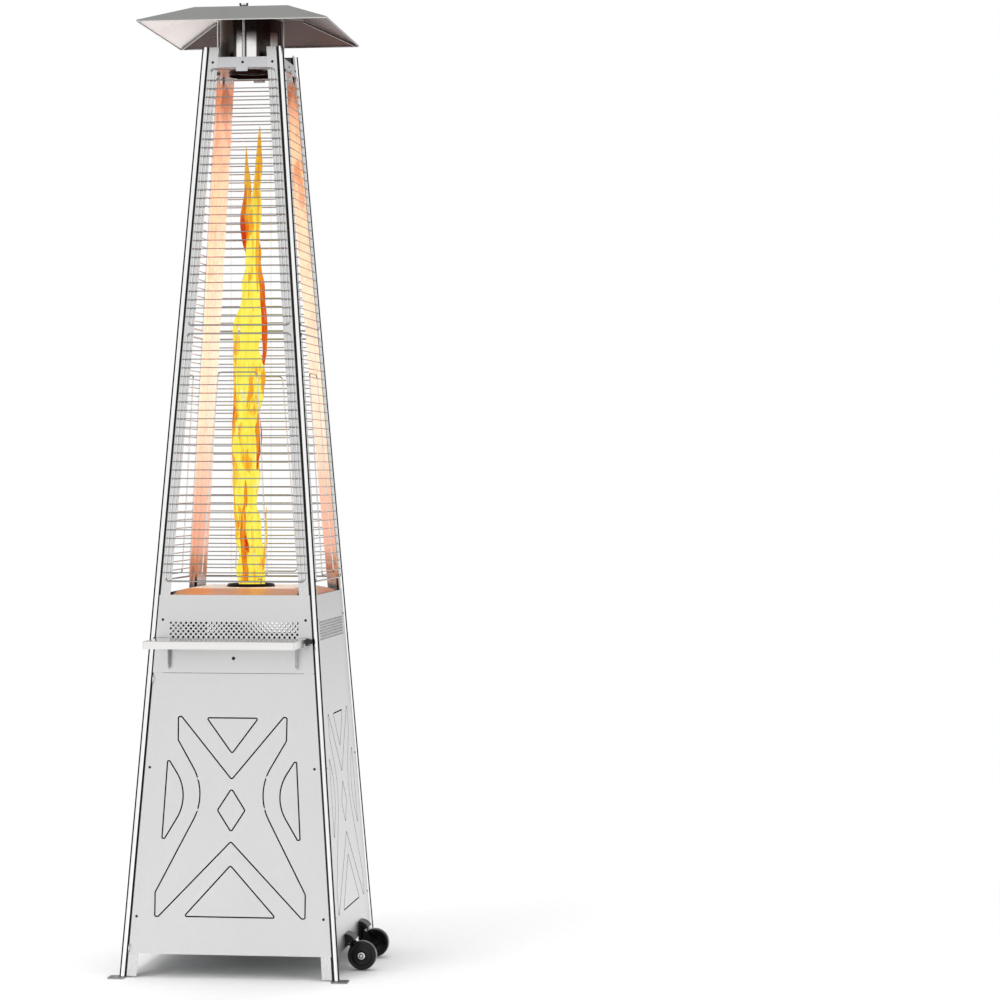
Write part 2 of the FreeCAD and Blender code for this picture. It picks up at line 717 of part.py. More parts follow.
def shelf_bracket(sign):
    """Upright welded on the front panel: a narrow foot strip and an ear for the pivot."""
    x0, x1 = sorted((sign * (BRACKET_X - 6), sign * (BRACKET_X + 1)))
    strip = leaned(box(x0, x1, -1.55, -0.03, up(BRACKET_BOTTOM + 4), up(SHELF_TOP - 10)), PANEL_OUT)
    wall_low = -(half_width(BRACKET_BOTTOM) + PANEL_OUT + 0.3)
    wall_high = -(half_width(SHELF_TOP) + PANEL_OUT + 0.3)
    front = SHELF_PIVOT_Y - 5
    x0 = sign * BRACKET_X - 1
    outline = [Vector(x0, wall_low, BRACKET_BOTTOM + 3), Vector(x0, wall_low - 6, BRACKET_BOTTOM),
               Vector(x0, front + 3, BRACKET_BOTTOM + 9), Vector(x0, front, BRACKET_BOTTOM + 18),
               Vector(x0, front, SHELF_PIVOT_Z + 4), Vector(x0, front + 2.5, SHELF_PIVOT_Z + 6),
               Vector(x0, wall_high, SHELF_PIVOT_Z + 6)]
    ear = prism(outline, Vector(2, 0, 0))
    pin_at = Vector(x0 - 1, SHELF_PIVOT_Y, SHELF_PIVOT_Z)
    return strip.fuse(ear).cut(cylinder(SHELF_PIN_R + 0.02, pin_at, X, 4))


def shelf_pins():
    """One pivot pin at each side, headed on the inside of its ear."""
    pins = []
    for sign in (-1, 1):
        start = Vector(sign * (BRACKET_X - 4), SHELF_PIVOT_Y, SHELF_PIVOT_Z)
        pin = cylinder(SHELF_PIN_R, start, X * sign, 36)
        head = cylinder(5, start, X * sign, 2.9)
        pins.append(pin.fuse(head))
    return Part.makeCompound(pins)


def shelf_hinge_block(sign):
    """Black hinge block under a rear corner of the shelf, turning on the pin."""
    x0, x1 = sorted((sign * 157.0, sign * 173.5))
    y1 = SHELF_PIVOT_Y + 11
    body = box(x0, x1, -SHELF_REAR - 16, y1, SHELF_TOP - SHELF_EDGE + 1, SHELF_TOP - SHELF_T - 0.05)
    behind = box(*sorted((sign * 157.0, sign * 179.0)), -SHELF_REAR + 0.1, y1,
                 SHELF_TOP - SHELF_EDGE + 1, SHELF_TOP)
    block = fused([body, behind])
    rear = [e for e in block.Edges if abs(e.tangentAt(e.FirstParameter).x) > 0.9
            and e.CenterOfMass.y > y1 - 0.1]
    block = block.makeFillet(4, rear)
    lug = box(*sorted((sign * 172.0, sign * 187.0)), -SHELF_REAR + 0.5, y1 - 5,
              SHELF_TOP - 12, SHELF_TOP - 2)
    block = fused([block, lug])
    pin = cylinder(SHELF_PIN_R + RUNNING, Vector(sign * 150, SHELF_PIVOT_Y, SHELF_PIVOT_Z), X * sign, 40)
    return block.cut(pin)


# ---- gas train and controls (left side) ---------------------------------------------
def valve_body():
    """Gas valve behind the left panel: body, stem boss, outlet and inlet bosses."""
    block = box(-17, 17, 8, 40, up(KNOB_Z) - VALVE_DROP, up(KNOB_Z) + 20)
    plate = box(-30, 30, 3, 5, up(KNOB_Z) - 20, up(KNOB_Z) + 20)
    boss = cylinder(9, Vector(0, 3.5, up(KNOB_Z)), Y, 5)
    body = fused([block, plate, boss])
    bore = cylinder(STEM_R + RUNNING, Vector(0, 2, up(KNOB_Z)), Y, 32)
    return leaned(body.cut(bore), PANEL_OUT, LEFT)


def valve_stem():
    """Push stem from the knob into the valve."""
    return leaned(cylinder(STEM_R, Vector(0, -14, up(KNOB_Z)), Y, 38), PANEL_OUT, LEFT)


def control_knob():
    """Round knob with a raised grip bar, turning on the stem."""
    base_y, r = -6.0, 22.0
    outline = [(0, base_y), (r, base_y), (r + 1, base_y - 1.5), (r - 1, base_y - 6),
               (r - 5, base_y - 9), (0, base_y - 9)]
    skirt = revolved([Vector(x, y, up(KNOB_Z)) for x, y in outline], Vector(0, 0, up(KNOB_Z)), Y)
    grip = box(-5, 5, base_y - 20, base_y - 8, up(KNOB_Z) - 19, up(KNOB_Z) + 19)
    ends = [e for e in grip.Edges if abs(e.tangentAt(e.FirstParameter).y) > 0.9]
    grip = grip.makeFillet(4, ends)
    bore = cylinder(STEM_R + RUNNING, Vector(0, -14.5, up(KNOB_Z)), Y, 20)
    return leaned(skirt.fuse(grip).cut(bore), PANEL_OUT, LEFT)


def control_bezel():
    """Dial plate behind the knob with a pointer notch and end-stop dots."""
    plate = box(-36, 84, -0.95, -0.05, up(KNOB_Z) - 34, up(KNOB_Z) + 34)
    corner = [e for e in plate.Edges if abs(e.tangentAt(e.FirstParameter).y) > 0.9]
    plate = plate.makeFillet(8, corner)
    cuts = [cylinder(6, Vector(0, -2, up(KNOB_Z)), Y, 4),
            cylinder(7.5, Vector(IGNITER_X, -2, up(KNOB_Z)), Y, 4)]
    for degrees in (-120, -75, -30, 15, 60, 105, 150):
        a = math.radians(degrees)
        at = Vector(28.5 * math.sin(a), -2, up(KNOB_Z) + 28.5 * math.cos(a))
        cuts.append(cylinder(1.2, at, Y, 1.5))
    return leaned(plate.cut(Part.makeCompound(cuts)), PANEL_OUT, LEFT)


def igniter_body():
    """Push igniter behind the panel, its threaded nose through the bezel."""
    z = up(KNOB_Z)
    nose = ring(7.3, 5.6, Vector(IGNITER_X, -2.5, z), Y, 6)
    collar = ring(10, 5.6, Vector(IGNITER_X, 3, z), Y, 3)
    case = cylinder(9, Vector(IGNITER_X, 6, z), Y, 38)
    return leaned(fused([nose, collar, case]), PANEL_OUT, LEFT)


def igniter_button():
    z = up(KNOB_Z)
    cap = cylinder(8.5, Vector(IGNITER_X, -10, z), Y, 4)
    stalk = cylinder(5.2, Vector(IGNITER_X, -7, z), Y, 9)
    cap = cap.makeFillet(1.2, [cap.Edges[0], cap.Edges[2]])
    return leaned(cap.fuse(stalk), PANEL_OUT, LEFT)


def gas_pipe():
    """Copper pipe from the valve up to the burner cup, with two easy bends."""
    r = 4.0
    z_low = KNOB_Z + 21
    z_cup = DECK_TOP - DECK_T - 42
    x0 = -(half_width(KNOB_Z) + PANEL_OUT) + 28
    bend = 30.0
    z_mid = z_cup - 38
    arc = bend * (1 - math.cos(math.radians(45)))
    reach = bend * math.sin(math.radians(45))
    p = [Vector(x0, 0, z_low), Vector(x0, 0, z_mid - bend), Vector(x0 + arc, 0, z_mid - bend + reach),
         Vector(x0 + bend, 0, z_mid), Vector(-bend, 0, z_mid), Vector(-arc, 0, z_mid + bend - reach),
         Vector(0, 0, z_mid + bend), Vector(0, 0, z_cup + 8)]
    path = Part.Wire([Part.LineSegment(p[0], p[1]).toShape(), Part.Arc(p[1], p[2], p[3]).toShape(),
                      Part.LineSegment(p[3], p[4]).toShape(), Part.Arc(p[4], p[5], p[6]).toShape(),
                      Part.LineSegment(p[6], p[7]).toShape()])
    sweep = Part.BRepOffsetAPI.MakePipeShell(path)
    sweep.add(Part.Wire(Part.makeCircle(r, p[0], Z)))
    sweep.build()
    sweep.makeSolid()
    nut = hex_nut(14, 8, r - 0.5, Vector(0, 0, z_cup - 8.1))
    return sweep.shape().fuse(nut)


def inlet_fitting():
    """Flare fitting under the valve where the gas hose screws on."""
    low = up(KNOB_Z) - VALVE_DROP - 24.1
    nut = hex_nut(19, 8, INLET_BORE_R, Vector(0, 24, low + 16))
    nose = ring(INLET_R, INLET_BORE_R, Vector(0, 24, low), Z, 16.5)
    return leaned(nut.fuse(nose), PANEL_OUT, LEFT)


def tilt_switch():
    """Sealed tilt cut-off, screwed inside the back panel."""
    case = box(-18, 18, PANEL_T + 0.2, PANEL_T + 22, up(640), up(676))
    edges = [e for e in case.Edges if abs(e.tangentAt(e.FirstParameter).y) > 0.9]
    return leaned(case.makeFillet(4, edges), PANEL_OUT, BACK)


def magnetic_catch():
    """Magnet behind the shelf panel, just above the door's folded top edge."""
    case = box(-20, 20, PANEL_T + 0.1, PANEL_T + 12, up(SEAM) + 2, up(SEAM) + 42)
    hole = cylinder(SCREW_HOLE_R, flat(0, CATCH_SCREW_Z, 0), Y, 6)
    return leaned(case.cut(hole), PANEL_OUT)


def tank_tray():
    """Floor of the gas bottle bay: a plate on the panels' folded edges, with a ring."""
    z0 = PANEL_BOTTOM + 1.4
    back, front, cut = 243.0, 232.0, 38.0
    outline = [(-back + cut, -front), (back - cut, -front), (back, -front + cut), (back, back - cut),
               (back - cut, back), (-back + cut, back), (-back, back - cut), (-back, -front + cut)]
    plate = prism([Vector(x, y, z0) for x, y in outline], Vector(0, 0, 1.2))
    rim = ring(161.5, 160.2, Vector(0, 0, z0), Z, 14)
    return plate.fuse(rim).cut(cylinder(60, Vector(0, 0, z0 - 1), Z, 4))


# ---- wheels -------------------------------------------------------------------------
def wheel(sign):
    """Solid plastic wheel with a dished face, ribs of rings and a hub boss."""
    y0 = sign * WHEEL_Y - WHEEL_W / 2
    half = WHEEL_W / 2
    bore = AXLE_R + RUNNING
    profile = [(bore, -half), (9.5, -half), (10.5, -half + 3), (22, -half + 3), (23.5, -half + 0.8),
               (27, -half + 0.8), (28, -half), (31, -half), (33.2, -half + 1.8), (WHEEL_R, -half + 4.5)]
    outline = profile + [(r, -y) for r, y in reversed(profile)]
    mid = y0 + half
    points = [Vector(WHEEL_X + r, mid + y, WHEEL_Z) for r, y in outline]
    return revolved(points, Vector(WHEEL_X, 0, WHEEL_Z), Y)


def wheel_axle():
    reach = WHEEL_Y + WHEEL_W / 2 + 5
    axle = cylinder(AXLE_R, Vector(WHEEL_X, -reach, WHEEL_Z), Y, 2 * reach)
    return axle.makeChamfer(0.6, [axle.Edges[0], axle.Edges[2]])


def hub_caps():
    """Bright push-on caps outboard and washers inboard of each wheel."""
    caps = []
    for sign in (-1, 1):
        face = sign * (WHEEL_Y + WHEEL_W / 2 + 0.4)
        at = Vector(WHEEL_X, face, WHEEL_Z)
        cap = cylinder(8.6, at, Y * sign, 3.6)
        cap = cap.makeFillet(1.4, [e for e in cap.Edges if abs(e.CenterOfMass.y - face) > 3])
        dome = cylinder(5.4, at, Y * sign, 6.0)
        caps.append(cap.fuse(dome).cut(cylinder(AXLE_R, at, Y * sign, 4.62)))
        inner = sign * (WHEEL_Y - WHEEL_W / 2 - 0.4)
        caps.append(ring(8.6, AXLE_R, Vector(WHEEL_X, inner, WHEEL_Z), Y * -sign, 1.6))
    return Part.makeCompound(caps)


def wheel_bracket(sign):
    """Plastic carrier clipped on the right panel's lower edge: arch, cheek, axle boss."""
    cx, cz = 248.5, 63.0
    outer_r, inner_r = 26.0, 22.0
    near, far = 66.0, 126.0

    def panel_x(z):
        return half_width(z) + PANEL_OUT + 0.3

    def across(shape):
        """Extrusions run from the near edge outwards, mirrored for the other wheel."""
        return shape if sign > 0 else shape.mirror(ORIGIN, Y)

    arch = cylinder(outer_r, Vector(cx, near, cz), Y, far - near)
    ends = [e for e in arch.Edges if e.Length > outer_r and abs(e.CenterOfMass.x - cx) < 1]
    arch = arch.makeFillet(7, ends)
    hollow_from = near + 4 if sign > 0 else near - 4
    arch = arch.cut(cylinder(inner_r, Vector(cx, hollow_from, cz), Y, far - near))
    start = near - 30
    depth = Vector(0, far - start + 2, 0)
    inboard = prism([Vector(panel_x(0), start, 0), Vector(panel_x(150), start, 150),
                     Vector(cx - 60, start, 150), Vector(cx - 60, start, 0)], depth)
    below = prism([Vector(cx - 40, start, cz), Vector(cx, start, cz), Vector(cx + 40, start, cz + 19),
                   Vector(cx + 40, start, cz - 40), Vector(cx - 40, start, cz - 40)], depth)
    arch = arch.cut(below)
    cheek = prism([Vector(cx - 4, near, cz + 6), Vector(cx + 12, near, cz + 8),
                   Vector(WHEEL_X + 6, near, WHEEL_Z + 8), Vector(WHEEL_X + 6, near, WHEEL_Z - 8),
                   Vector(WHEEL_X - 10, near, WHEEL_Z - 9), Vector(cx - 2, near, PANEL_BOTTOM - 14)],
                  Vector(0, 5, 0))
    boss = cylinder(9.5, Vector(WHEEL_X, near - 4, WHEEL_Z), Y, 12)
    block = box(cx - 6, cx + 9, near - 14, near + 1, 46, 64)
    block = block.makeFillet(1.5, [e for e in block.Edges if abs(e.tangentAt(e.FirstParameter).x) > 0.9])
    rib = box(cx - 14, cx + 12, near, far, cz, cz + 4)
    body = fused([arch, cheek, boss, block, rib]).cut(inboard)
    body = body.cut(cylinder(AXLE_R, Vector(WHEEL_X, near - 20, WHEEL_Z), Y, 60))
    return across(body)


# ---- write every node ---------------------------------------------------------------
def main():
    os.makedirs("parts", exist_ok=True)
    corner_post = post()
    plate = foot_plate()
    for corner, quarter in CORNERS.items():
        save("post_" + corner, turned(corner_post, quarter))
        save("foot_plate_" + corner, turned(plate, quarter))

    lines = pressed_lines()
    plain = side_panel(lines)
    save("right_panel", leaned(plain, PANEL_OUT, RIGHT))
    save("back_panel", leaned(plain, PANEL_OUT, BACK))
    save("left_panel", leaned(side_panel(lines, control_holes()), PANEL_OUT, LEFT))
    save("shelf_panel", leaned(shelf_panel(), PANEL_OUT))
    save("front_door", leaned(front_door(lines), PANEL_OUT))
    save("door_hinge_pins", door_hinge_pins())
    save("panel_screws", panel_screws())
    save("door_screws", door_screws())

    save("burner_deck", burner_deck())
    save("burner_cup", burner_cup())
    save("burner_gauze", burner_gauze())
    save("igniter_electrode", probe(PROBE_Y, DECK_TOP + 14))
    save("thermocouple", probe(-PROBE_Y, DECK_TOP + 20))
    save("glass_tube", glass_tube())
    save("tube_seat", tube_seat())
    save("tube_collar", tube_collar())

    lower = guard(GUARD_BOTTOM, GUARD_SPLIT, guard_heights(GUARD_BOTTOM, GUARD_SPLIT), True)
    upper_bottom = GUARD_SPLIT + GUARD_PITCH
    upper = guard(upper_bottom, GUARD_TOP, guard_heights(upper_bottom, GUARD_TOP), False)
    for name, side in SIDES.items():
        save("guard_lower_" + name, leaned(lower, GUARD_OUT, side))
        save("guard_upper_" + name, leaned(upper, GUARD_OUT, side))

    save("top_plate", top_plate())
    save("chimney", chimney())
    save("hood", hood())
    save("hood_rods", hood_rods())
    save("rod_nuts", rod_nuts())
    save("wing_nuts", wing_nuts())

    save("shelf", shelf())
    for name, sign in (("left", -1), ("right", 1)):
        save("shelf_bracket_" + name, shelf_bracket(sign))
    save("shelf_hinge_blocks", Part.makeCompound([shelf_hinge_block(-1), shelf_hinge_block(1)]))
    save("shelf_pins", shelf_pins())

    save("gas_valve", valve_body())
    save("valve_stem", valve_stem())
    save("control_knob", control_knob())
    save("control_bezel", control_bezel())
    save("igniter_body", igniter_body())
    save("igniter_button", igniter_button())
    save("gas_pipe", gas_pipe())
    save("inlet_fitting", inlet_fitting())
    save("tilt_switch", tilt_switch())
    save("magnetic_catch", magnetic_catch())
    save("tank_tray", tank_tray())

    for name, sign in (("front", -1), ("back", 1)):
        save("wheel_" + name, wheel(sign))
        save("wheel_bracket_" + name, wheel_bracket(sign))
    save("wheel_axle", wheel_axle())
    save("hub_caps", hub_caps())


main()
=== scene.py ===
"""Looks, flame, studio and camera for the pyramid patio heater."""
import math
import bpy
import bmesh
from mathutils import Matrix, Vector, noise


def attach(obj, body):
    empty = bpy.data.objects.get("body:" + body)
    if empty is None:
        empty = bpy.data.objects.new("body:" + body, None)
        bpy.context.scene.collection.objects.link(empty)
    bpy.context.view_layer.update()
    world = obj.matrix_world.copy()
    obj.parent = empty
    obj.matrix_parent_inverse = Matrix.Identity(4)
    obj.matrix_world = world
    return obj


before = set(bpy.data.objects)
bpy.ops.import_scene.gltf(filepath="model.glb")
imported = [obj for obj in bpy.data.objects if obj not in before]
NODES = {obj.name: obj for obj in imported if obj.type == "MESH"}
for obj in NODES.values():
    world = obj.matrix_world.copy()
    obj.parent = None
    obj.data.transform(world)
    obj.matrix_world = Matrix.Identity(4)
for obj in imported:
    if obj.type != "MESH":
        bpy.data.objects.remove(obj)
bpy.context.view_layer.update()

# Sizes as in the CAD, in metres, for materials that change with the place.
POST_HALF_BASE = 0.2518          # post centre line to the middle plane, at the floor
PANEL_FACE_BASE = 0.2548         # outer face of the panels to the middle plane, at the floor
TAPER = 0.07441                  # how fast both close in with height
BEAD_R = 0.0075                  # round bead of a post
SHEET_T = 0.0009                 # side panels
SLEEVE_TOP = 0.8934              # top of the probes' ceramic sleeves
WHEEL_CENTRE = (0.2855, 0.0355)  # x and z of the wheel axle

# Heights at which a look changes, in metres. They are set near the edge named, and
# aren't the CAD's own.
INSIDE_SHADE_Z = 0.70                    # inside the panels, near the seam: painted shade, grey below and near-black above
FLAME_LIGHT_LOW = 0.90                 # the posts' painted flame light starts near the deck
FLAME_LIGHT_HIGH = 2.13                # and ends near the top of the guards
LIP_Z = 2.221                    # near the hood's lip: bright hem below; above it the chimney is painted dark as shade, with browning

# The flame's mesh.
FLAME_CLEAR = 0.0455             # it stays this near to the axis, inside the glass
FLAME_THIN = 0.0006              # least half width of a tongue
FLAME_RINGS = 90
FLAME_SIDES = 20

# The world's cards: they fade out between two values of a direction's z, to one tone.
CARD_FADE = (0.30, 0.46)
OVERHEAD = 0.62

# The camera, fitted to the heater: it stands front right of it, a little above the middle.
CAMERA_AZIMUTH = 11.82           # degrees round from the front
CAMERA_DISTANCE = 6.8189
CAMERA_HEIGHT = 1.1583
CAMERA_TURN = 5.02               # degrees that it looks past the heater, to the right
CAMERA_PITCH = -0.44
CAMERA_LENS = 102.04


# ---- node helpers -------------------------------------------------------------------
class Shader:
    """A small wrapper for building one node material."""

    def __init__(self, name):
        self.mat = bpy.data.materials.new(name)
        self.mat.use_nodes = True
        self.tree = self.mat.node_tree
        self.tree.nodes.clear()
        self.out = self.add("ShaderNodeOutputMaterial")
        self.coords = self.add("ShaderNodeTexCoord").outputs["Object"]

    def add(self, kind, **settings):
        node = self.tree.nodes.new(kind)
        for key, value in settings.items():
            setattr(node, key, value)
        return node

    def link(self, source, target):
        if isinstance(source, (int, float, tuple, list)):
            target.default_value = source
        else:
            self.tree.links.new(source, target)

    def principled(self, **inputs):
        node = self.add("ShaderNodeBsdfPrincipled")
        for key, value in inputs.items():
            self.link(value, node.inputs[key.replace("_", " ")])
        return node

    def surface(self, shader):
        self.link(shader, self.out.inputs["Surface"])
        return self.mat

    def math(self, operation, a, b=0.0, clamp=False):
        node = self.add("ShaderNodeMath", operation=operation, use_clamp=clamp)
        self.link(a, node.inputs[0])
        self.link(b, node.inputs[1])
        return node.outputs[0]

    def emission(self, colour, strength):
        node = self.add("ShaderNodeEmission")
        self.link(colour, node.inputs["Color"])
        node.inputs["Strength"].default_value = strength
        return node.outputs[0]

    def blend(self, factor, a, b):
        """Shader b over shader a."""
        node = self.add("ShaderNodeMixShader")
        for source, socket in zip((factor, a, b), node.inputs):
            self.link(source, socket)
        return node.outputs[0]

    def stretched(self, x, y, z):
        """Object coordinates scaled per axis, for grain that runs one way."""
        node = self.add("ShaderNodeMapping")
        self.link(self.coords, node.inputs["Vector"])
        node.inputs["Scale"].default_value = (x, y, z)
        return node.outputs["Vector"]

    def noise(self, scale, detail=4.0, vector=None, rough=0.55):
        node = self.add("ShaderNodeTexNoise")
        self.link(vector or self.coords, node.inputs["Vector"])
        node.inputs["Scale"].default_value = scale
        node.inputs["Detail"].default_value = detail
        node.inputs["Roughness"].default_value = rough
        return node.outputs["Fac"]

    def ramp(self, factor, low, high, out_low=0.0, out_high=1.0):
        node = self.add("ShaderNodeMapRange", interpolation_type="SMOOTHSTEP")
        self.link(factor, node.inputs["Value"])
        values = (low, high, out_low, out_high)
        for key, value in zip(("From Min", "From Max", "To Min", "To Max"), values):
            self.link(value, node.inputs[key])
        return node.outputs["Result"]

    def mix(self, factor, a, b):
        node = self.add("ShaderNodeMix", data_type="RGBA")
        self.link(factor, node.inputs[0])
        self.link(a if not isinstance(a, tuple) else (*a, 1.0), node.inputs[6])
        self.link(b if not isinstance(b, tuple) else (*b, 1.0), node.inputs[7])
        return node.outputs[2]

    def mix_value(self, factor, a, b):
        node = self.add("ShaderNodeMix", data_type="FLOAT")
        self.link(factor, node.inputs[0])
        self.link(a, node.inputs[2])
        self.link(b, node.inputs[3])
        return node.outputs[0]

    def bump(self, height, strength, distance, normal=None):
        node = self.add("ShaderNodeBump")
        self.link(height, node.inputs["Height"])
        if normal:
            self.link(normal, node.inputs["Normal"])
        node.inputs["Strength"].default_value = strength
        node.inputs["Distance"].default_value = distance
        return node.outputs["Normal"]

    def split(self, vector=None):
        node = self.add("ShaderNodeSeparateXYZ")
        self.link(vector or self.coords, node.inputs[0])
        return node.outputs

    def vector(self, x, y, z):
        node = self.add("ShaderNodeCombineXYZ")
        for value, socket in zip((x, y, z), node.inputs):
            self.link(value, socket)
        return node.outputs[0]

    def unit(self, vector):
        node = self.add("ShaderNodeVectorMath", operation="NORMALIZE")
        self.link(vector, node.inputs[0])
        return node.outputs[0]

    def mix_vector(self, factor, a, b):
        node = self.add("ShaderNodeMix", data_type="VECTOR")
        self.link(factor, node.inputs[0])
        self.link(a, node.inputs[4])
        self.link(b, node.inputs[5])
        return node.outputs[1]

    def object_normal(self):
        node = self.add("ShaderNodeTexCoord")
        return self.split(node.outputs["Normal"])

    def turned_in(self):
        """1 on faces that look towards the heater's axis, 0 on the others."""
        place, normal = self.split(), self.object_normal()
        dot = self.math("ADD", self.math("MULTIPLY", place[0], normal[0]),
                        self.math("MULTIPLY", place[1], normal[1]))
        return self.ramp(dot, -0.01, -0.03)

    def both(self, a, b):
        """Product of two masks."""
        return self.math("MULTIPLY", a, b)

    def either(self, a, b):
        """The stronger of two masks."""
        return self.math("MAXIMUM", a, b)

    def length(self, a, b):
        """Distance of a point from the origin in a plane."""
        return self.math("SQRT", self.math("ADD", self.both(a, a), self.both(b, b)))

    def azimuth(self, x, y):
        """Angle in radians from the front, turning to the right."""
        return self.math("ARCTAN2", x, self.math("MULTIPLY", y, -1.0))

    def window(self, value, low, high, soft):
        """1 between two values, falling to 0 over a soft edge."""
        return self.both(self.ramp(value, low - soft, low), self.ramp(value, high + soft, high))


def paint(names, mat):
    """Give CAD nodes one material in all their slots."""
    for name in [names] if isinstance(names, str) else names:
        obj = NODES[name]
        if not obj.material_slots:
            obj.data.materials.append(mat)
        for slot in obj.material_slots:
            slot.material = mat


# ---- metals -------------------------------------------------------------------------
def panel_steel():
    """Satin sheet outside, painted black shade in the pressed lines, dull and painted darker
    inside as shade, near-black at the vents.
    """
    s = Shader("panel_steel")
    x, y, z = s.split()
    square = s.either(s.math("ABSOLUTE", x), s.math("ABSOLUTE", y))
    face = s.math("SUBTRACT", PANEL_FACE_BASE, s.math("MULTIPLY", z, TAPER))
    depth = s.math("SUBTRACT", face, square)
    pressed = s.both(s.ramp(depth, 0.00002, 0.00005),
                     s.ramp(depth, SHEET_T - 0.0001, SHEET_T - 0.0002))
    fine = s.noise(1.0, 3.0, s.stretched(700, 700, 6))
    cloud = s.noise(2.6, 3.0)
    hand = s.noise(9.0, 5.0)
    tone = s.mix(s.ramp(fine, 0.3, 0.7), (0.735, 0.735, 0.735), (0.765, 0.765, 0.76))
    tone = s.mix(s.ramp(cloud, 0.35, 0.7, 0.0, 0.5), tone, (0.715, 0.715, 0.72))
    # painted shade inside: faces turned in are grey below the seam and near-black above it
    shade_above_seam = s.ramp(z, INSIDE_SHADE_Z - 0.04, INSIDE_SHADE_Z + 0.02)
    inside = s.mix(shade_above_seam, (0.34, 0.34, 0.335), (0.04, 0.038, 0.036))
    tone = s.mix(s.turned_in(), tone, inside)
    # painted shade: black in the pressed lines, whose gloss is also turned off
    tone = s.mix(pressed, tone, (0.003, 0.003, 0.003))
    rough = s.math("ADD", s.ramp(fine, 0.3, 0.7, 0.33, 0.37), s.ramp(hand, 0.52, 0.72, 0.0, 0.03))
    shader = s.principled(Base_Color=tone, Metallic=s.ramp(pressed, 0.0, 1.0, 1.0, 0.0),
                          Specular_IOR_Level=s.ramp(pressed, 0.0, 1.0, 0.5, 0.0),
                          Roughness=rough, Normal=s.bump(fine, 0.04, 0.0003))
    return s.surface(shader.outputs[0])


def brushed(name, colour, roughness, grain, contrast=0.12, bump=0.12, tint=None):
    """Brushed or satin sheet steel: fine grain one way, broad cloudy tint, faint smudges."""
    s = Shader(name)
    fine = s.noise(1.0, 3.0, s.stretched(*grain))
    coarse = s.noise(1.0, 2.0, s.stretched(*[g * 0.22 for g in grain]))
    cloud = s.noise(3.2, 3.0)
    hand = s.noise(9.0, 5.0)
    lines = s.math("ADD", s.math("MULTIPLY", fine, 0.6), s.math("MULTIPLY", coarse, 0.4))
    dark = tuple(c * (1 - contrast) for c in colour)
    light = tuple(min(1.0, c * (1 + contrast * 0.8)) for c in colour)
    tone = s.mix(s.ramp(lines, 0.3, 0.7), dark, light)
    tone = s.mix(s.ramp(cloud, 0.35, 0.7, 0.0, 0.35), tone, tint or light)
    rough = s.math("ADD", s.ramp(lines, 0.3, 0.7, roughness * 0.88, roughness * 1.12),
                   s.ramp(hand, 0.52, 0.72, 0.0, 0.03))
    shader = s.principled(Base_Color=tone, Metallic=1.0, Roughness=rough,
                          Normal=s.bump(lines, bump, 0.0004))
    return s.surface(shader.outputs[0])


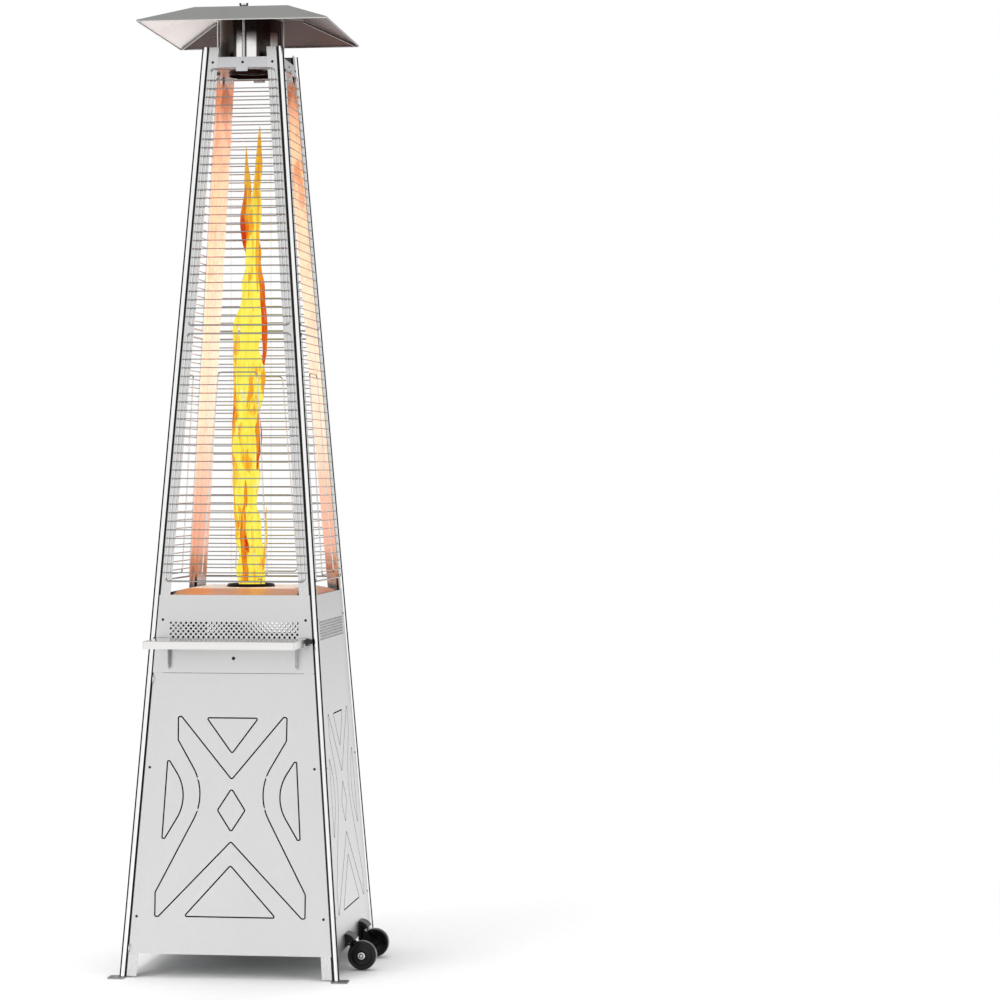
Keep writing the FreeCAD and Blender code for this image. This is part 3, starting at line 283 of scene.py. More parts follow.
def post_steel():
    """Bright bead with painted dark reflections and a painted shadow line at its foot, satin
    flanges, painted warm flame light inside that glows faintly.
    """
    s = Shader("post_steel")
    x, y, z = s.split()
    half = s.math("SUBTRACT", POST_HALF_BASE, s.math("MULTIPLY", z, TAPER))
    dx = s.math("SUBTRACT", s.math("ABSOLUTE", x), half)
    dy = s.math("SUBTRACT", s.math("ABSOLUTE", y), half)
    away = s.length(dx, dy)
    flange = s.ramp(away, BEAD_R + 0.0002, BEAD_R + 0.0006)
    # the bead's true round normal, so that its reflections run as even streaks
    out_x = s.both(dx, s.math("SIGN", x))
    out_y = s.both(dy, s.math("SIGN", y))
    rise = s.math("MULTIPLY", s.math("ADD", dx, dy), TAPER)
    round_normal = s.unit(s.vector(out_x, out_y, rise))
    face_normal = s.add("ShaderNodeNewGeometry").outputs["Normal"]
    normal = s.mix_vector(flange, round_normal, face_normal)
    fine = s.noise(1.0, 3.0, s.stretched(900, 900, 6))
    cloud = s.noise(7.0, 4.0)
    # painted shadow: a dark line where the bead meets the flanges
    crease_shadow = s.both(s.ramp(away, BEAD_R + 0.0002, BEAD_R + 0.0004),
                    s.ramp(away, BEAD_R + 0.0031, BEAD_R + 0.0021))
    bead_tone = s.mix(s.ramp(cloud, 0.4, 0.7), (0.97, 0.97, 0.97), (1.0, 1.0, 1.0))
    # dark reflections painted down the bead on fixed sides, in radians from the front
    side = s.azimuth(out_x, out_y)
    streak = s.either(s.window(side, -1.50, -0.40, 0.12), s.window(side, 0.84, 1.90, 0.12))
    streak = s.either(streak, s.window(side, 2.50, 2.78, 0.10))
    streak = s.both(streak, s.ramp(away, BEAD_R + 0.0004, BEAD_R + 0.0002))
    bead_tone = s.mix(streak, bead_tone, (0.03, 0.03, 0.03))
    flange_tone = s.mix(s.ramp(fine, 0.3, 0.7), (0.68, 0.68, 0.68), (0.78, 0.78, 0.78))
    tone = s.mix(flange, bead_tone, flange_tone)
    tone = s.mix(crease_shadow, tone, (0.03, 0.03, 0.03))
    # painted light: the flame's warm light on the faces turned in, pinker at the left, with brown
    # near the deck and scorched brown near the top
    blot = s.noise(1.0, 4.0, s.stretched(45, 45, 14))
    low = s.mix(s.ramp(blot, 0.56, 0.70, 0.0, 0.5), (0.94, 0.75, 0.65), (0.90, 0.60, 0.48))
    low = s.mix(s.ramp(z, 1.34, 1.02), low, (0.78, 0.47, 0.37))
    foot = s.mix(s.ramp(blot, 0.42, 0.58), (0.55, 0.26, 0.13), (0.26, 0.10, 0.05))
    low = s.mix(s.ramp(z, 1.00, 0.94, 0.0, 0.75), low, foot)
    high = s.mix(s.ramp(blot, 0.48, 0.64), (0.93, 0.60, 0.38), (0.62, 0.24, 0.08))
    high = s.mix(s.ramp(x, -0.01, 0.01, 0.55, 0.0), high, (0.88, 0.55, 0.44))
    scorched = s.mix(s.ramp(blot, 0.40, 0.60), (0.74, 0.30, 0.15), (0.42, 0.15, 0.07))
    high = s.mix(s.ramp(z, 2.00, 2.08, 0.0, 0.8), high, scorched)
    flame_light_tone = s.mix(s.ramp(z, 1.40, 2.06), low, high)
    flame_lit_height = s.both(s.ramp(z, FLAME_LIGHT_LOW, FLAME_LIGHT_LOW + 0.03),
                    s.ramp(z, FLAME_LIGHT_HIGH, FLAME_LIGHT_HIGH - 0.03))
    inner = s.ramp(s.either(dx, dy), 0.0016, 0.0012)
    inner = s.either(inner, s.ramp(away, BEAD_R + 0.0025, BEAD_R + 0.0035))
    flame_lit = s.both(s.both(s.turned_in(), flame_lit_height), inner)
    tone = s.mix(flame_lit, tone, flame_light_tone)
    bead_rough = s.ramp(cloud, 0.35, 0.75, 0.04, 0.09)
    flange_rough = s.ramp(fine, 0.3, 0.7, 0.20, 0.30)
    shader = s.principled(Base_Color=tone, Metallic=s.ramp(flame_lit, 0.0, 1.0, 1.0, 0.25),
                          Roughness=s.mix_value(flange, bead_rough, flange_rough),
                          Normal=s.bump(fine, 0.05, 0.0003, normal))
    # the painted flame light also glows faintly, though the post is no lamp
    s.link(flame_light_tone, shader.inputs["Emission Color"])
    s.link(s.ramp(flame_lit, 0.0, 1.0, 0.0, 0.28), shader.inputs["Emission Strength"])
    return s.surface(shader.outputs[0])


def bright_metal(name, colour, roughness, wear=0.5, scale=60.0):
    """Polished or plated small metal: faint waviness, fingerprints, worn spots."""
    s = Shader(name)
    cloud = s.noise(scale, 4.0)
    fine = s.noise(scale * 14, 3.0)
    dull = tuple(c * (1 - 0.35 * wear) for c in colour)
    tone = s.mix(s.ramp(cloud, 0.45, 0.75, 0.0, 0.8), colour, dull)
    rough = s.math("ADD", s.ramp(cloud, 0.4, 0.7, roughness, roughness * (1.6 + wear)),
                   s.ramp(fine, 0.5, 0.8, 0.0, 0.05))
    shader = s.principled(Base_Color=tone, Metallic=1.0, Roughness=rough,
                          Normal=s.bump(fine, 0.06, 0.0002))
    return s.surface(shader.outputs[0])


def chimney_steel():
    """Dark sleeve: painted shade with browning at its top under the hood, bright reflections
    painted down it.
    """
    s = Shader("chimney_steel")
    x, y, z = s.split()
    cloud = s.noise(14.0, 4.0)
    lines = s.noise(1.0, 3.0, s.stretched(14, 14, 900))
    # painted reflections: the sleeve is near-black, with bright streaks on fixed sides
    turn = s.azimuth(x, y)
    painted_bright_reflection = s.either(s.window(turn, -0.24, -0.10, 0.05), s.window(turn, 0.10, 0.36, 0.05))
    painted_bright_reflection = s.either(painted_bright_reflection, s.window(turn, 0.92, 1.22, 0.06))
    low = s.mix(painted_bright_reflection, (0.055, 0.045, 0.04), (0.97, 0.96, 0.95))
    # painted shade under the hood, with browning: the sleeve turns brown-black at its top
    top_shade_and_browning = s.math("ADD", s.ramp(z, LIP_Z - 0.021, LIP_Z + 0.001, 0.0, 0.95),
                 s.ramp(cloud, 0.3, 0.7, -0.05, 0.05))
    tone = s.mix(top_shade_and_browning, low, (0.045, 0.030, 0.025))
    rough = s.ramp(lines, 0.3, 0.7, 0.14, 0.22)
    shader = s.principled(Base_Color=tone, Metallic=1.0, Roughness=rough,
                          Normal=s.bump(lines, 0.08, 0.0003))
    return s.surface(shader.outputs[0])


def hood_steel():
    """Satin grey outside, bright lip; underneath, brown stain, with painted light on the left
    face.
    """
    s = Shader("hood_steel")
    under = s.ramp(s.object_normal()[2], -0.05, -0.2)
    cloud = s.noise(5.0, 5.0)
    fine = s.noise(1.0, 3.0, s.stretched(500, 30, 500))
    x, y, z = s.split()
    hip = s.math("SUBTRACT", s.math("ABSOLUTE", x), s.math("ABSOLUTE", y))
    hip = s.ramp(s.math("ABSOLUTE", hip), 0.0030, 0.0018)
    top = s.mix(s.ramp(fine, 0.3, 0.7), (0.33, 0.33, 0.32), (0.40, 0.40, 0.385))
    top = s.mix(s.ramp(cloud, 0.45, 0.75, 0.0, 0.5), top, (0.28, 0.28, 0.275))
    stain = s.mix(s.ramp(cloud, 0.36, 0.60), (0.040, 0.030, 0.027), (0.085, 0.050, 0.042))
    stain = s.mix(s.ramp(x, 0.06, 0.20, 0.0, 0.8), stain, (0.110, 0.042, 0.034))
    # painted light: the left face underneath is pale
    left = s.ramp(s.math("ADD", s.math("ABSOLUTE", y), x), 0.001, -0.001)
    stain = s.mix(left, stain, (0.90, 0.84, 0.82))
    stain = s.mix(hip, stain, (0.70, 0.66, 0.64))
    lip = s.ramp(z, LIP_Z + 0.0006, LIP_Z - 0.0002)
    top = s.mix(lip, top, (0.97, 0.97, 0.96))
    rough = s.math("ADD", s.mix_value(under, 0.30, 0.26), s.ramp(cloud, 0.4, 0.7, 0.0, 0.10))
    shader = s.principled(Base_Color=s.mix(under, top, stain),
                          Metallic=s.mix_value(under, 1.0, 0.3), Roughness=rough,
                          Specular_IOR_Level=s.mix_value(under, 0.5, 0.2),
                          Normal=s.bump(fine, 0.07, 0.0003))
    return s.surface(shader.outputs[0])


def deck_steel():
    """Satin deck, straw and orange heat tint strongest round the burner and on the bevels."""
    s = Shader("deck_steel")
    x, y = s.split()[:2]
    ax = s.math("ABSOLUTE", x)
    ay = s.math("ABSOLUTE", y)
    square = s.either(ax, ay)
    reach = s.length(x, y)
    cloud = s.noise(9.0, 4.0)
    fine = s.noise(1.0, 3.0, s.stretched(20, 900, 900))
    bevel = s.ramp(square, 0.122, 0.128)
    corner = s.both(s.ramp(ax, 0.144, 0.147), s.ramp(ay, 0.144, 0.147))
    tone = s.mix(s.ramp(fine, 0.3, 0.7), (0.90, 0.89, 0.87), (0.98, 0.97, 0.95))
    tone = s.mix(s.ramp(reach, 0.10, 0.06, 0.0, 0.45), tone, (0.90, 0.62, 0.42))
    spot = s.both(s.ramp(x, -0.17, -0.11), s.ramp(x, -0.05, -0.085))
    orange = s.mix(spot, (0.74, 0.38, 0.23), (0.98, 0.38, 0.05))
    orange = s.mix(s.ramp(cloud, 0.4, 0.7, 0.0, 0.6), orange, (0.66, 0.34, 0.22))
    orange = s.mix(corner, orange, (0.05, 0.045, 0.04))
    shader = s.principled(Base_Color=s.mix(bevel, tone, orange),
                          Metallic=s.ramp(bevel, 0.0, 1.0, 0.35, 0.6),
                          Roughness=s.ramp(cloud, 0.3, 0.7, 0.28, 0.40),
                          Normal=s.bump(fine, 0.06, 0.0003))
    return s.surface(shader.outputs[0])


def guard_wire():
    """Plated wire: bright on faces that stand upright, dark grey with browned stretches where
    faces turn up or down.
    """
    s = Shader("guard_wire")
    cloud = s.noise(28.0, 3.0)
    fine = s.noise(500.0, 3.0)
    upright = s.ramp(s.math("ABSOLUTE", s.object_normal()[2]), 0.26, 0.14)
    tone = s.mix(s.ramp(cloud, 0.46, 0.66, 0.0, 0.9), (0.125, 0.122, 0.12), (0.17, 0.10, 0.07))
    tone = s.mix(upright, tone, (0.86, 0.86, 0.85))
    shader = s.principled(Base_Color=tone, Metallic=1.0,
                          Roughness=s.ramp(cloud, 0.3, 0.7, 0.10, 0.22),
                          Normal=s.bump(fine, 0.10, 0.0002))
    return s.surface(shader.outputs[0])


def gauze():
    """Woven gauze: crossed waves for the weave, painted black shade in its hollows, scorched in
    patches.
    """
    s = Shader("burner_gauze")
    weave = []
    for direction in ("X", "Y"):
        wave = s.add("ShaderNodeTexWave", bands_direction=direction)
        s.link(s.coords, wave.inputs["Vector"])
        wave.inputs["Scale"].default_value = 160.0
        weave.append(wave.outputs["Fac"])
    height = s.either(*weave)
    cloud = s.noise(60.0, 4.0)
    tone = s.mix(s.ramp(cloud, 0.35, 0.65), (0.10, 0.07, 0.05), (0.36, 0.26, 0.18))
    # painted shade: the hollows of the weave are near-black
    tone = s.mix(s.ramp(height, 0.3, 0.8), (0.01, 0.01, 0.01), tone)
    shader = s.principled(Base_Color=tone, Metallic=0.9, Roughness=0.5,
                          Normal=s.bump(height, 0.8, 0.0006))
    return s.surface(shader.outputs[0])


# ---- plastics, ceramic, glass -------------------------------------------------------
def plastic(name, colour, roughness, grain=900.0, bump=0.15, scuff=0.25, sheen=0.5):
    """Moulded plastic: fine texture, broad sheen changes, light scuffs."""
    s = Shader(name)
    fine = s.noise(grain, 3.0)
    cloud = s.noise(22.0, 4.0)
    marks = s.noise(1.0, 6.0, s.stretched(120, 40, 300))
    pale = tuple(min(1.0, c + 0.05) for c in colour)
    tone = s.mix(s.ramp(marks, 0.62, 0.75, 0.0, scuff), colour, pale)
    rough = s.math("ADD", s.ramp(cloud, 0.3, 0.7, roughness * 0.85, roughness * 1.15),
                   s.ramp(marks, 0.6, 0.75, 0.0, 0.10))
    shader = s.principled(Base_Color=tone, Roughness=rough, Specular_IOR_Level=sheen,
                          Normal=s.bump(fine, bump, 0.0003))
    return s.surface(shader.outputs[0])


def hub_metal():
    """Plated push-on cap: bright dome with a dark ring round it."""
    s = Shader("hub_metal")
    place = s.split()
    reach = s.length(s.math("SUBTRACT", place[0], WHEEL_CENTRE[0]),
                     s.math("SUBTRACT", place[2], WHEEL_CENTRE[1]))
    cloud = s.noise(140.0, 4.0)
    tone = s.mix(s.ramp(cloud, 0.4, 0.7), (0.86, 0.86, 0.86), (0.70, 0.70, 0.70))
    tone = s.mix(s.window(reach, 0.0036, 0.0052, 0.0004), tone, (0.03, 0.03, 0.03))
    shader = s.principled(Base_Color=tone, Metallic=1.0,
                          Roughness=s.ramp(cloud, 0.4, 0.7, 0.12, 0.22),
                          Normal=s.bump(cloud, 0.06, 0.0002))
    return s.surface(shader.outputs[0])


def probe_ceramic():
    """Glazed sleeve below, heat-blued rod above the gauze."""
    s = Shader("probe_ceramic")
    rod = s.ramp(s.split()[2], SLEEVE_TOP - 0.0014, SLEEVE_TOP)
    cloud = s.noise(120.0, 4.0)
    glaze = s.mix(s.ramp(cloud, 0.4, 0.7), (0.85, 0.82, 0.75), (0.74, 0.68, 0.58))
    steel = s.mix(s.ramp(cloud, 0.35, 0.65), (0.30, 0.27, 0.30), (0.45, 0.36, 0.28))
    shader = s.principled(Base_Color=s.mix(rod, glaze, steel), Metallic=rod,
                          Roughness=s.mix_value(rod, 0.18, 0.38),
                          Normal=s.bump(cloud, 0.1, 0.0003))
    return s.surface(shader.outputs[0])


def tube_glass():
    """Clear tube, more solid at its edges, with a faint warm haze, most near its foot."""
    s = Shader("tube_glass")
    cloud = s.noise(6.0, 4.0)
    haze = s.math("ADD", s.ramp(s.split()[2], 1.1, 0.9, 0.0, 0.06),
                  s.ramp(cloud, 0.45, 0.8, 0.0, 0.04))
    rim = s.add("ShaderNodeLayerWeight").outputs["Facing"]
    rim = s.math("POWER", rim, 5.0)
    glass = s.principled(Base_Color=(1.0, 0.99, 0.97, 1), Roughness=0.02, IOR=1.45,
                         Transmission_Weight=1.0, Alpha=s.ramp(rim, 0.0, 1.0, 0.0, 0.30))
    film = s.add("ShaderNodeBsdfTransparent")
    film.inputs["Color"].default_value = (0.98, 0.93, 0.86, 1)
    return s.surface(s.blend(haze, glass.outputs[0], film.outputs[0]))


def cast_metal():
    """As-cast alloy: pebbled skin with darker hollows."""
    s = Shader("cast_metal")
    skin = s.noise(420.0, 5.0)
    cloud = s.noise(40.0, 3.0)
    tone = s.mix(s.ramp(cloud, 0.3, 0.7), (0.34, 0.35, 0.36), (0.50, 0.51, 0.52))
    shader = s.principled(Base_Color=tone, Metallic=0.8,
                          Roughness=s.ramp(skin, 0.3, 0.7, 0.42, 0.6),
                          Normal=s.bump(skin, 0.35, 0.0005))
    return s.surface(shader.outputs[0])


def galvanised():
    """Zinc spangle: flat crystals of slightly different greys."""
    s = Shader("galvanised")
    cells = s.add("ShaderNodeTexVoronoi")
    s.link(s.coords, cells.inputs["Vector"])
    cells.inputs["Scale"].default_value = 90.0
    grey = s.split(cells.outputs["Color"])[0]
    tone = s.mix(grey, (0.42, 0.43, 0.44), (0.66, 0.67, 0.68))
    shader = s.principled(Base_Color=tone, Metallic=1.0,
                          Roughness=s.ramp(grey, 0.0, 1.0, 0.32, 0.5),
                          Normal=s.bump(grey, 0.05, 0.0002))
    return s.surface(shader.outputs[0])


def flame_glow(name, core, middle, edge, strength, holes):
    """Glowing gas: long streaks of three colours, browner at the top, clear in places."""
    s = Shader(name)
    streak = s.noise(1.0, 3.0, s.stretched(60, 60, 6), 0.6)
    lick = s.noise(1.0, 4.0, s.stretched(34, 34, 9), 0.65)
    wisps = s.noise(1.0, 4.0, s.stretched(85, 85, 10), 0.6)
    tone = s.mix(s.ramp(streak, 0.42, 0.60), core, middle)
    tone = s.mix(s.ramp(lick, 0.51, 0.60, 0.0, 0.95), tone, edge)
    tip = s.ramp(s.split()[2], 1.70, 1.95, 0.0, 0.75)
    tone = s.mix(tip, tone, (0.78, 0.36, 0.03))
    glow = s.emission(tone, strength)
    clear = s.add("ShaderNodeBsdfTransparent").outputs[0]
    return s.surface(s.blend(s.ramp(wisps, holes, holes + 0.14), glow, clear))


def finish_cad():
    """Every CAD node gets its own procedural finish."""
    paint([n for n in NODES if n.startswith("post_")], post_steel())
    paint([n for n in NODES if n.startswith("foot_plate")],
          brushed("foot_steel", (0.34, 0.34, 0.34), 0.34, (40, 600, 600), contrast=0.2))
    paint(["left_panel", "right_panel", "back_panel", "shelf_panel", "front_door"],
          panel_steel())
    paint(["panel_screws", "door_screws"],
          bright_metal("screw_steel", (0.045, 0.045, 0.05), 0.30, 0.6, 120))
    paint("burner_deck", deck_steel())
    paint("burner_cup", brushed("burner_steel", (0.40, 0.36, 0.33), 0.42, (30, 30, 500),
                                tint=(0.26, 0.17, 0.12)))
    paint("burner_gauze", gauze())
    paint(["igniter_electrode", "thermocouple"], probe_ceramic())
    paint("glass_tube", tube_glass())
    paint("tube_seat", brushed("seat_enamel", (0.018, 0.017, 0.017), 0.36, (60, 60, 500),
                               tint=(0.06, 0.03, 0.02)))
    paint("tube_collar", brushed("collar_steel", (0.022, 0.012, 0.010), 0.34, (60, 60, 500),
                                 tint=(0.12, 0.03, 0.015)))
    paint([n for n in NODES if n.startswith("guard_")], guard_wire())
    paint("top_plate", brushed("top_steel", (0.74, 0.74, 0.765), 0.34, (20, 20, 700),
                               contrast=0.05, tint=(0.70, 0.695, 0.71)))
    paint("chimney", chimney_steel())
    paint("hood", hood_steel())
    paint("hood_rods", bright_metal("rod_steel", (0.80, 0.79, 0.77), 0.26, 0.1, 30))
    paint("rod_nuts", bright_metal("nut_steel", (0.20, 0.19, 0.18), 0.36, 0.6, 120))
    paint("wing_nuts", plastic("wing_plastic", (0.012, 0.012, 0.013), 0.32))
    paint("shelf", brushed("shelf_steel", (0.86, 0.85, 0.84), 0.17, (5, 600, 600), contrast=0.03,
                           bump=0.03))
    paint(["shelf_bracket_left", "shelf_bracket_right", "shelf_pins", "door_hinge_pins"],
          brushed("bracket_steel", (0.42, 0.42, 0.42), 0.26, (600, 600, 20)))
    paint("shelf_hinge_blocks", plastic("hinge_plastic", (0.010, 0.010, 0.011), 0.34))
    paint("gas_valve", cast_metal())
    paint(["valve_stem", "inlet_fitting"],
          bright_metal("brass", (0.72, 0.52, 0.24), 0.24, 0.6, 90))
    paint("gas_pipe", bright_metal("pipe_metal", (0.68, 0.69, 0.70), 0.30, 0.4, 50))
    paint("control_knob", plastic("knob_plastic", (0.014, 0.014, 0.015), 0.38, 1200, 0.2))
    paint("control_bezel", plastic("bezel_paint", (0.022, 0.022, 0.023), 0.45, 1600, 0.25))
    paint("igniter_button", plastic("button_plastic", (0.42, 0.03, 0.025), 0.25, 1400, 0.08))
    paint(["igniter_body", "tilt_switch", "magnetic_catch"],
          plastic("dark_plastic", (0.03, 0.03, 0.03), 0.5))
    paint("tank_tray", galvanised())
    paint(["wheel_front", "wheel_back"],
          plastic("wheel_plastic", (0.003, 0.003, 0.0035), 0.16, 700, 0.05, 0.1, sheen=0.35))
    paint(["wheel_bracket_front", "wheel_bracket_back"],
          plastic("carrier_plastic", (0.002, 0.002, 0.0022), 0.20, 700, 0.05, 0.1, sheen=0.2))
    paint("wheel_axle", bright_metal("axle_steel", (0.80, 0.80, 0.80), 0.12, 0.3, 140))
    paint("hub_caps", hub_metal())


# ---- flame --------------------------------------------------------------------------
def spline(points, t):
    """Catmull-Rom value through rows of numbers at 0..1."""
    last = len(points) - 1
    place = t * last
    i = min(int(place), last - 1)
    f = place - i
    rows = [points[max(0, min(last, i + k))] for k in (-1, 0, 1, 2)]
    value = []
    for a, b, c, d in zip(*rows):
        value.append(0.5 * (2 * b + (c - a) * f + (2 * a - 5 * b + 4 * c - d) * f * f
                            + (3 * b - a - 3 * c + d) * f ** 3))
    return value


def tongue(name, stations, material, seed, ripple=0.22):
    """One closed tongue of flame lofted through (height, x, y, half width, half depth) rows."""
    mesh = bmesh.new()
    loops = []
    for i in range(FLAME_RINGS + 1):
        z, x, y, wide, deep = spline(stations, i / FLAME_RINGS)
        turn = 0.6 * noise.noise(Vector((seed, 3.0, z * 4.0)))
        ring = []
        for k in range(FLAME_SIDES):
            a = 2 * math.pi * k / FLAME_SIDES
            wave = noise.noise(Vector((math.cos(a) * 1.1, math.sin(a) * 1.1 + seed, z * 16.0)))
            swell = max(0.05, 1 + ripple * 2.0 * wave)
            px = max(wide, FLAME_THIN) * math.cos(a) * swell
            py = max(deep, FLAME_THIN) * math.sin(a) * swell
            px, py = (px * math.cos(turn) - py * math.sin(turn),
                      px * math.sin(turn) + py * math.cos(turn))
            sway = 0.004 * noise.noise(Vector((seed * 2.0, 7.0, z * 9.0)))
            place = Vector((x + px + sway, y + py))
            if place.length > FLAME_CLEAR:
                place *= FLAME_CLEAR / place.length
            ring.append(mesh.verts.new((place.x, place.y, z)))
        loops.append(ring)
    for low, high in zip(loops, loops[1:]):
        for k in range(FLAME_SIDES):
            after = (k + 1) % FLAME_SIDES
            mesh.faces.new((low[k], low[after], high[after], high[k]))
    mesh.faces.new(list(reversed(loops[0])))
    mesh.faces.new(loops[-1])
    data = bpy.data.meshes.new(name)
    mesh.to_mesh(data)
    mesh.free()
    for face in data.polygons:
        face.use_smooth = True
    data.materials.append(material)
    obj = bpy.data.objects.new(name, data)
    bpy.context.collection.objects.link(obj)
    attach(obj, "frame")


def build_flame():
    """Yellow body with two tips, orange licks at its sides and red upper edges."""
    yellow = flame_glow("flame_yellow", (1.0, 0.93, 0.13), (0.97, 0.80, 0.07),
                        (0.93, 0.36, 0.02), 1.0, 0.54)
    orange = flame_glow("flame_orange", (0.98, 0.45, 0.04), (1.0, 0.70, 0.08),
                        (0.85, 0.14, 0.01), 0.95, 0.52)
    red = flame_glow("flame_red", (0.80, 0.10, 0.01), (0.98, 0.34, 0.02),
                     (0.62, 0.03, 0.01), 0.9, 0.56)
    tongue("flame_body", [
        (0.902, 0.000, 0.000, 0.028, 0.020), (0.960, 0.000, 0.000, 0.034, 0.024),
        (1.040, -0.006, 0.002, 0.032, 0.022), (1.120, -0.012, 0.002, 0.030, 0.022),
        (1.200, -0.013, 0.000, 0.031, 0.022), (1.300, -0.012, -0.002, 0.031, 0.020),
        (1.400, -0.008, 0.000, 0.033, 0.022), (1.500, -0.004, 0.002, 0.032, 0.018),
        (1.580, 0.002, 0.000, 0.026, 0.015), (1.650, 0.004, 0.000, 0.019, 0.012),
        (1.720, 0.006, 0.001, 0.015, 0.010), (1.790, 0.010, 0.001, 0.013, 0.009),
        (1.860, 0.016, 0.000, 0.009, 0.007), (1.930, 0.019, 0.000, 0.006, 0.005),
        (2.000, 0.021, 0.000, 0.001, 0.001)], yellow, 1.3, 0.30)
    tongue("flame_tip", [
        (1.660, 0.000, 0.004, 0.007, 0.005), (1.740, -0.003, 0.004, 0.010, 0.007),
        (1.820, -0.006, 0.003, 0.009, 0.006), (1.890, -0.008, 0.003, 0.005, 0.004),
        (1.950, -0.010, 0.003, 0.001, 0.001)], orange, 4.1, 0.3)
    tongue("flame_lick_left", [
        (1.020, -0.030, -0.006, 0.002, 0.002), (1.080, -0.036, -0.006, 0.005, 0.006),
        (1.150, -0.037, -0.008, 0.006, 0.007), (1.230, -0.039, -0.004, 0.005, 0.006),
        (1.310, -0.036, -0.006, 0.006, 0.006), (1.390, -0.034, -0.004, 0.006, 0.005),
        (1.450, -0.037, -0.004, 0.003, 0.003), (1.490, -0.040, -0.003, 0.001, 0.001)],
           orange, 7.7, 0.45)
    tongue("flame_lick_top_left", [
        (1.400, -0.030, -0.008, 0.001, 0.001), (1.440, -0.031, -0.009, 0.005, 0.004),
        (1.490, -0.029, -0.008, 0.005, 0.005), (1.530, -0.033, -0.006, 0.001, 0.001)],
           orange, 21.3, 0.4)
    tongue("flame_lick_low", [
        (0.910, -0.012, -0.018, 0.006, 0.005), (0.980, -0.010, -0.022, 0.009, 0.006),
        (1.040, -0.013, -0.022, 0.007, 0.005), (1.110, -0.010, -0.020, 0.004, 0.003),
        (1.160, -0.012, -0.018, 0.001, 0.001)], red, 9.2, 0.4)
    tongue("flame_lick_right", [
        (0.940, 0.032, -0.004, 0.003, 0.003), (1.000, 0.037, -0.004, 0.003, 0.004),
        (1.060, 0.036, -0.006, 0.002, 0.003), (1.090, 0.039, -0.005, 0.001, 0.001)],
           orange, 11.5, 0.4)
    tongue("flame_side_right", [
        (1.180, 0.016, -0.008, 0.002, 0.002), (1.240, 0.021, -0.008, 0.006, 0.006),
        (1.290, 0.021, -0.008, 0.006, 0.006), (1.330, 0.017, -0.008, 0.002, 0.002),
        (1.350, 0.015, -0.008, 0.001, 0.001)], red, 25.0, 0.4)
    tongue("flame_edge_right", [
        (1.410, 0.030, -0.004, 0.002, 0.002), (1.480, 0.035, -0.004, 0.006, 0.006),
        (1.540, 0.034, -0.004, 0.007, 0.007), (1.600, 0.028, -0.003, 0.006, 0.006),
        (1.680, 0.021, -0.002, 0.003, 0.003), (1.760, 0.017, -0.001, 0.001, 0.001)],
           red, 13.9, 0.45)
    tongue("flame_edge_high", [
        (1.690, -0.008, -0.006, 0.001, 0.001), (1.730, -0.015, -0.006, 0.004, 0.004),
        (1.780, -0.018, -0.006, 0.005, 0.004), (1.820, -0.013, -0.005, 0.004, 0.004),
        (1.860, -0.010, -0.004, 0.001, 0.001)], red, 17.1, 0.45)
    tongue("flame_thread_right", [
        (1.600, 0.018, -0.008, 0.001, 0.001), (1.680, 0.018, -0.008, 0.004, 0.003),
        (1.780, 0.019, -0.007, 0.003, 0.003), (1.860, 0.021, -0.006, 0.003, 0.003),
        (1.910, 0.022, -0.005, 0.001, 0.001)], orange, 29.7, 0.4)


# ---- studio -------------------------------------------------------------------------
def area_light(name, place, target, size, power):
    """White soft box, hidden from bright metal, which sees only the world's cards."""
    data = bpy.data.lights.new(name, "AREA")
    data.shape = "RECTANGLE"
    data.size, data.size_y = size
    data.energy = power
    obj = bpy.data.objects.new(name, data)
    bpy.context.collection.objects.link(obj)
    obj.location = place
    obj.visible_glossy = False
    obj.rotation_mode = "QUATERNION"
    obj.rotation_quaternion = (Vector(target) - Vector(place)).to_track_quat("-Z", "Y")


def glow_light(z, power):
    """Warm light of the flame, inside the tube."""
    data = bpy.data.lights.new("glow_%d" % round(z * 100), "POINT")
    data.energy = power
    data.color = (1.0, 0.50, 0.26)
    data.shadow_soft_size = 0.03
    obj = bpy.data.objects.new(data.name, data)
    bpy.context.collection.objects.link(obj)
    obj.location = (0, 0, z)
    obj.visible_glossy = False
    obj.visible_transmission = False
    obj.visible_camera = False


def build_floor():
    """Pale paper that fades to plain white away from the heater."""
    s = Shader("floor_paper")
    fine = s.noise(40.0, 4.0)
    tone = s.mix(s.ramp(fine, 0.3, 0.7), (0.90, 0.90, 0.90), (0.92, 0.92, 0.92))
    x, y = s.split()[:2]
    paper = s.principled(Base_Color=tone, Roughness=0.85, Specular_IOR_Level=0.1)
    white = s.emission((1.0, 1.0, 1.0, 1.0), 1.0)
    mat = s.surface(s.blend(s.ramp(s.length(x, y), 0.9, 2.4), paper.outputs[0], white))
    bpy.ops.mesh.primitive_plane_add(size=60, location=(0, 0, 0))
    floor = bpy.context.object
    floor.name = "floor"
    floor.data.materials.append(mat)


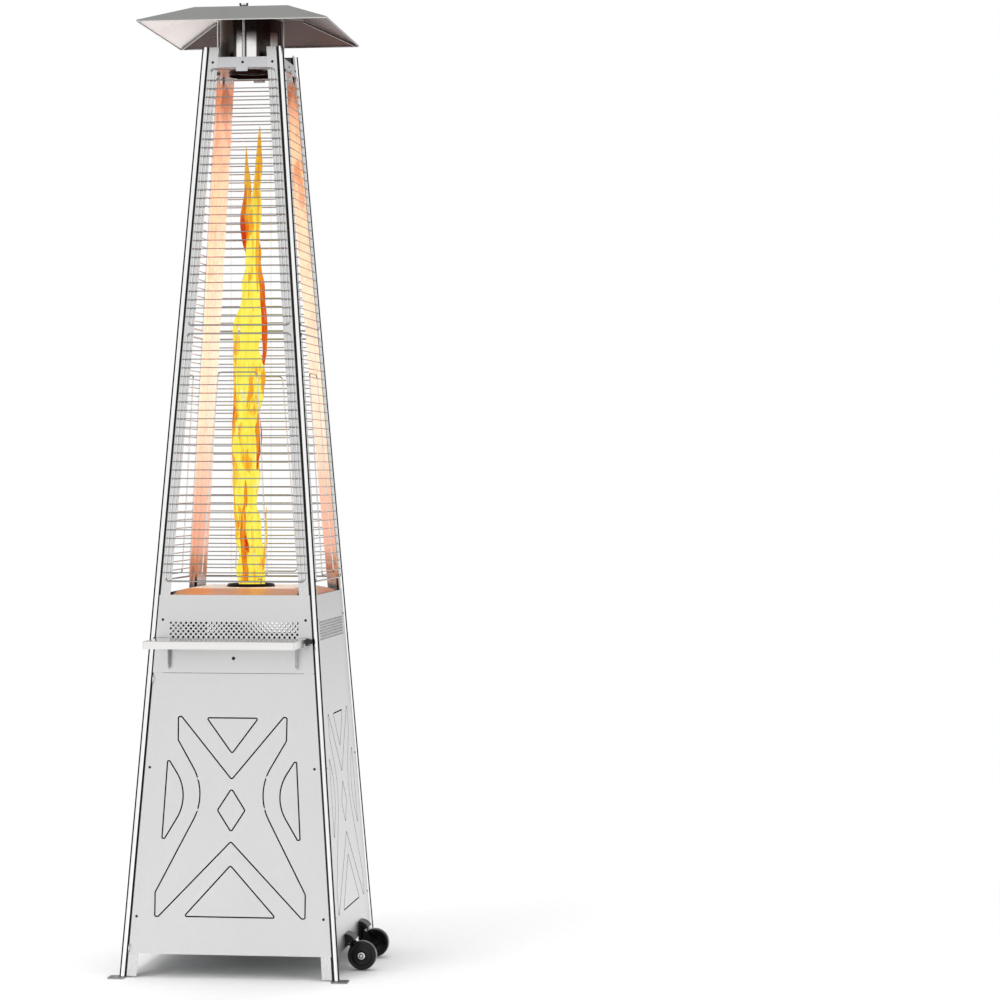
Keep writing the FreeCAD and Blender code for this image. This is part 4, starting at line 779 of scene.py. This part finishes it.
def build_world():
    """White for the camera; reflections see a studio with darker cards round the sides."""
    world = bpy.data.worlds.new("studio")
    bpy.context.scene.world = world
    world.use_nodes = True
    tree = world.node_tree
    tree.nodes.clear()

    def add(kind, **settings):
        node = tree.nodes.new(kind)
        for key, value in settings.items():
            setattr(node, key, value)
        return node

    coords = add("ShaderNodeTexCoord")
    parts = add("ShaderNodeSeparateXYZ")
    tree.links.new(coords.outputs["Generated"], parts.inputs[0])
    flip = add("ShaderNodeMath", operation="MULTIPLY")
    tree.links.new(parts.outputs[1], flip.inputs[0])
    flip.inputs[1].default_value = -1.0
    angle = add("ShaderNodeMath", operation="ARCTAN2")
    tree.links.new(parts.outputs[0], angle.inputs[0])
    tree.links.new(flip.outputs[0], angle.inputs[1])
    place = add("ShaderNodeMapRange")
    tree.links.new(angle.outputs[0], place.inputs["Value"])
    place.inputs["From Min"].default_value = -math.pi
    place.inputs["From Max"].default_value = math.pi
    ramp = add("ShaderNodeValToRGB")
    tree.links.new(place.outputs["Result"], ramp.inputs[0])
    # azimuth in degrees from the front, turning to the right, and brightness there
    cards = [(-180, 0.60), (-160, 0.60), (-150, 0.30), (-80, 0.30), (-68, 0.97), (-45, 0.97),
             (-35, 0.93), (60, 0.93), (70, 1.0), (80, 1.0), (92, 0.30), (134, 0.30),
             (146, 0.62), (180, 0.60)]
    elements = ramp.color_ramp.elements
    for i, (degrees, level) in enumerate(cards):
        where = (degrees + 180) / 360
        element = elements[i] if i < 2 else elements.new(where)
        element.position = where
        element.color = (level, level, level, 1)
    height = add("ShaderNodeMapRange", interpolation_type="SMOOTHSTEP")
    tree.links.new(parts.outputs[2], height.inputs["Value"])
    height.inputs["From Min"].default_value = CARD_FADE[0]
    height.inputs["From Max"].default_value = CARD_FADE[1]
    above = add("ShaderNodeMix", data_type="RGBA")
    tree.links.new(height.outputs["Result"], above.inputs[0])
    tree.links.new(ramp.outputs[0], above.inputs[6])
    above.inputs[7].default_value = (OVERHEAD, OVERHEAD, OVERHEAD, 1)
    studio = add("ShaderNodeBackground")
    tree.links.new(above.outputs[2], studio.inputs["Color"])
    studio.inputs["Strength"].default_value = 1.0
    plain = add("ShaderNodeBackground")
    plain.inputs["Color"].default_value = (1, 1, 1, 1)
    plain.inputs["Strength"].default_value = 1.0
    path = add("ShaderNodeLightPath")
    mixer = add("ShaderNodeMixShader")
    tree.links.new(path.outputs["Is Camera Ray"], mixer.inputs[0])
    tree.links.new(studio.outputs[0], mixer.inputs[1])
    tree.links.new(plain.outputs[0], mixer.inputs[2])
    out = add("ShaderNodeOutputWorld")
    tree.links.new(mixer.outputs[0], out.inputs["Surface"])


def build_camera():
    """Level view from the front right, a little above the middle."""
    azimuth = math.radians(CAMERA_AZIMUTH)
    heading, pitch = math.radians(CAMERA_AZIMUTH - CAMERA_TURN), math.radians(CAMERA_PITCH)
    data = bpy.data.cameras.new("camera")
    data.lens = CAMERA_LENS
    data.sensor_width = 36
    data.clip_start, data.clip_end = 0.1, 200
    camera = bpy.data.objects.new("camera", data)
    bpy.context.collection.objects.link(camera)
    camera.location = (CAMERA_DISTANCE * math.sin(azimuth), -CAMERA_DISTANCE * math.cos(azimuth),
                       CAMERA_HEIGHT)
    forward = Vector((-math.sin(heading) * math.cos(pitch), math.cos(heading) * math.cos(pitch),
                      math.sin(pitch)))
    camera.rotation_mode = "QUATERNION"
    camera.rotation_quaternion = forward.to_track_quat("-Z", "Y")
    bpy.context.scene.camera = camera


def main():
    scene = bpy.context.scene
    scene.view_settings.view_transform = "Standard"
    build_camera()
    build_world()
    build_floor()
    finish_cad()
    build_flame()
    area_light("key", (-3.2, -4.6, 4.2), (0, 0, 1.0), (3.0, 3.0), 110)
    area_light("fill", (4.6, -2.6, 3.0), (0, 0, 1.0), (2.6, 3.4), 30)
    area_light("back", (1.5, 4.5, 4.0), (0, 0, 1.2), (3.5, 2.5), 50)
    area_light("top", (-0.6, -0.4, 6.0), (0, 0, 0), (4.0, 4.0), 175)
    for z, power in ((1.0, 2.2), (1.2, 2.2), (1.42, 1.8), (1.65, 1.2), (1.85, 0.8)):
        glow_light(z, power)


main()
